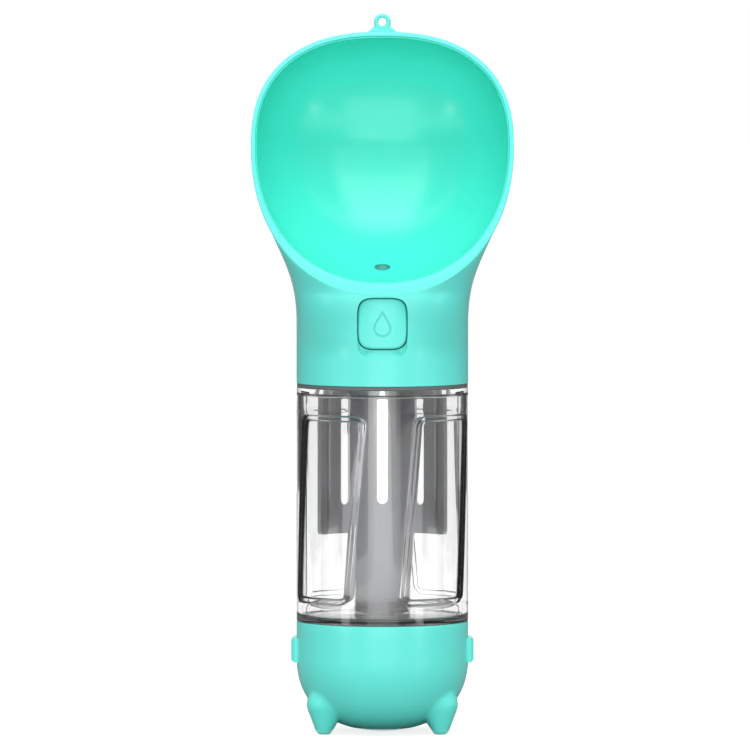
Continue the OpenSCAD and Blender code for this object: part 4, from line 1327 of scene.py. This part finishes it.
class BOTTLE_OT_stage(bpy.types.Operator):
    """Set up floor, light and camera"""
    bl_idname = "bottle.stage"
    bl_label = "Stage"

    # Places and sizes on the stage are in metres
    board_foot, board_top, scoop_board_top, border_top = 0.02, 0.9, 0.6, 0.095
    floor_size, floor_back, floor_shade, floor_glow = 14, 3, 0.36, 0.8
    # Brightness of the white room away from and towards the camera
    room_light, room_seen = 0.73, 0.27
    lens, sensor, clip_end = 434.8, 36, 50
    camera_place, camera_aim = (0.0, -3.6, 0.317), (-0.00294, 0.0, 0.1422)

    def lamp(self, name, place, size, power):
        """A lamp that lights the bottle and has no reflection of its own."""
        light = bpy.data.lights.new(name, "AREA")
        light.shape = "RECTANGLE"
        light.size, light.size_y = size
        light.energy = power
        lamp = bpy.data.objects.new(name, light)
        lamp.location = place
        lamp.rotation_euler = (Vector((0, 0, 0.2)) - Vector(place)).to_track_quat("-Z", "Y").to_euler()
        lamp.visible_glossy = lamp.visible_transmission = False
        bpy.context.scene.collection.objects.link(lamp)

    def board(self, name, corners, shade=0.0, glow=0.0, through=False):
        """A board that shows only in reflections or, if it is seen through clear plastic, only there."""
        finish = bpy.data.materials.new(name)
        finish.use_nodes = True
        shader = finish.node_tree.nodes["Principled BSDF"]
        shader.inputs["Base Color"].default_value = (shade, shade, shade, 1)
        shader.inputs["Emission Color"].default_value = (1, 1, 1, 1)
        shader.inputs["Emission Strength"].default_value = glow
        deselect_all()
        bpy.ops.mesh.primitive_plane_add(size=1)
        board = bpy.context.object
        board.name = name
        for vert, corner in zip(board.data.vertices, corners):
            vert.co = corner
        board.data.materials.append(finish)
        board.visible_camera = board.visible_diffuse = board.visible_shadow = False
        board.visible_glossy, board.visible_transmission = not through, through

    def upright(self, name, near, far, foot, top, **look):
        """A standing board from one place on the floor to another."""
        self.board(name, [(*near, foot), (*far, foot), (*near, top), (*far, top)], **look)

    def leaning(self, name, foot_half, foot, top_half, top, **look):
        """A board as wide as twice each half, from its foot to its top, both as (y, z)."""
        corners = [(-foot_half, *foot), (foot_half, *foot), (-top_half, *top), (top_half, *top)]
        self.board(name, corners, **look)

    def boards(self):
        """Boards round the bottle: dark for the edges, light for the bowl and the windows' borders."""
        for side, name in ((-1, "left"), (1, "right")):
            self.upright("gloss_flag_" + name, (side * 0.95, -0.2), (side * 0.3, 1.3),
                         self.board_foot, self.board_top, shade=0.3)
            self.upright("clear_flag_" + name, (side * 1.0, 1.0), (side * 0.34, 1.2),
                         self.board_foot, self.board_top, shade=0.01, through=True)
            self.upright("scoop_flag_" + name, ((-0.14 if side < 0 else 0.3), -0.65), (side * 0.75, -0.1),
                         self.board_foot, self.scoop_board_top, shade=0.05, through=True)
            self.upright("border_light_" + name, (side * 0.34, -0.36), (side * 0.4, -0.28),
                         self.board_foot / 2, self.border_top, glow=3.5)
        self.leaning("clear_flag_top", 0.8, (1.2, 0.5), 0.8, (1.2, 1.3), shade=0.01, through=True)
        self.leaning("front_flag", 7, (-1.7, self.board_foot), 7, (-1.7, 3), shade=0.15)
        self.leaning("floor_flag", 1, (-0.6, 0.002), 1, (1.5, 0.002), shade=0.3)
        self.leaning("bowl_light", 0.62, (-1.0, 0.88), 0.32, (-0.55, 1.35), glow=2.6)
        self.leaning("bowl_low_light", 0.12, (-0.32, 0.01), 0.4, (-1.3, 0.19), glow=1.7)

    def floor(self):
        """A pale floor that glows for the camera, so that it runs out into the white of the room."""
        deselect_all()
        bpy.ops.mesh.primitive_plane_add(size=self.floor_size, location=(0, self.floor_back, 0))
        floor = bpy.context.object
        floor.name = "floor"
        finish = bpy.data.materials.new("floor_white")
        finish.use_nodes = True
        tree = finish.node_tree
        shader = tree.nodes["Principled BSDF"]
        shader.inputs["Base Color"].default_value = (*[self.floor_shade] * 3, 1)
        shader.inputs["Roughness"].default_value = 0.9
        shader.inputs["Specular IOR Level"].default_value = 0.0
        glow = tree.nodes.new("ShaderNodeEmission")
        glow.inputs["Strength"].default_value = self.floor_glow
        both = tree.nodes.new("ShaderNodeAddShader")
        pick = tree.nodes.new("ShaderNodeMixShader")
        seen = seen_by_camera(tree)
        tree.links.new(shader.outputs[0], both.inputs[0])
        tree.links.new(glow.outputs[0], both.inputs[1])
        seen.joined_to(pick.inputs[0])
        tree.links.new(shader.outputs[0], pick.inputs[1])
        tree.links.new(both.outputs[0], pick.inputs[2])
        tree.links.new(pick.outputs[0], tree.nodes["Material Output"].inputs["Surface"])
        floor.data.materials.append(finish)

    def world(self):
        world = bpy.data.worlds.new("white_room")
        bpy.context.scene.world = world
        world.use_nodes = True
        tree = world.node_tree
        background = tree.nodes["Background"]
        background.inputs["Color"].default_value = (1, 1, 1, 1)
        strength = seen_by_camera(tree) * self.room_seen + self.room_light
        strength.joined_to(background.inputs["Strength"])

    def camera(self, context):
        camera = bpy.data.cameras.new("camera")
        camera.lens, camera.sensor_width = self.lens, self.sensor
        camera.clip_end = self.clip_end
        view = bpy.data.objects.new("camera", camera)
        view.location = self.camera_place
        view.rotation_euler = (Vector(self.camera_aim) - view.location).to_track_quat("-Z", "Y").to_euler()
        context.scene.collection.objects.link(view)
        context.scene.camera = view

    def execute(self, context):
        self.world()
        self.floor()
        self.boards()
        self.lamp("front", (0.0, -2.3, 0.55), (1.5, 1.1), 25)
        self.lamp("top", (0.0, -0.45, 1.5), (0.8, 0.7), 11)
        self.camera(context)
        context.scene.view_settings.view_transform = "Standard"
        return {"FINISHED"}


def seen_by_camera(tree):
    """1 for rays that show the background: straight, in gloss or through clear plastic."""
    path = tree.nodes.new("ShaderNodeLightPath")
    camera, gloss, through = (Wire(tree, path.outputs[name])
                              for name in ("Is Camera Ray", "Is Glossy Ray", "Is Transmission Ray"))
    return camera.with_math("MAXIMUM", camera.with_math("MAXIMUM", camera, gloss), through)


# ---------- panel and order of work ----------

OPERATORS = (BOTTLE_OT_base_cup, BOTTLE_OT_scoop, BOTTLE_OT_tank, BOTTLE_OT_rim_gasket, BOTTLE_OT_head_shell,
             BOTTLE_OT_bowl_liner, BOTTLE_OT_water_button, BOTTLE_OT_springs, BOTTLE_OT_cad_finishes,
             BOTTLE_OT_stage)


class BOTTLE_PT_panel(bpy.types.Panel):
    """Lists the pieces of the bottle, its sizes and its colours"""
    bl_idname = "BOTTLE_PT_panel"
    bl_label = "Dog travel water bottle"
    bl_space_type = "VIEW_3D"
    bl_region_type = "UI"
    bl_category = "Bottle"

    def draw(self, context):
        layout = self.layout
        for operator in OPERATORS:
            layout.operator(operator.bl_idname)
        for group in (context.scene.bottle_sizes, context.scene.bottle_colours):
            for name in type(group).__annotations__:
                layout.prop(group, name)


CLASSES = (BottleSizes, BottleColours, *OPERATORS, BOTTLE_PT_panel)


def register():
    for kind in CLASSES:
        bpy.utils.register_class(kind)
    bpy.types.Scene.bottle_sizes = PointerProperty(type=BottleSizes)
    bpy.types.Scene.bottle_colours = PointerProperty(type=BottleColours)


def unregister():
    del bpy.types.Scene.bottle_colours
    del bpy.types.Scene.bottle_sizes
    for kind in reversed(CLASSES):
        bpy.utils.unregister_class(kind)


def main():
    register()
    for operator in OPERATORS:
        group, name = operator.bl_idname.split(".")
        getattr(getattr(bpy.ops, group), name)()


if __name__ == "__main__":
    main()
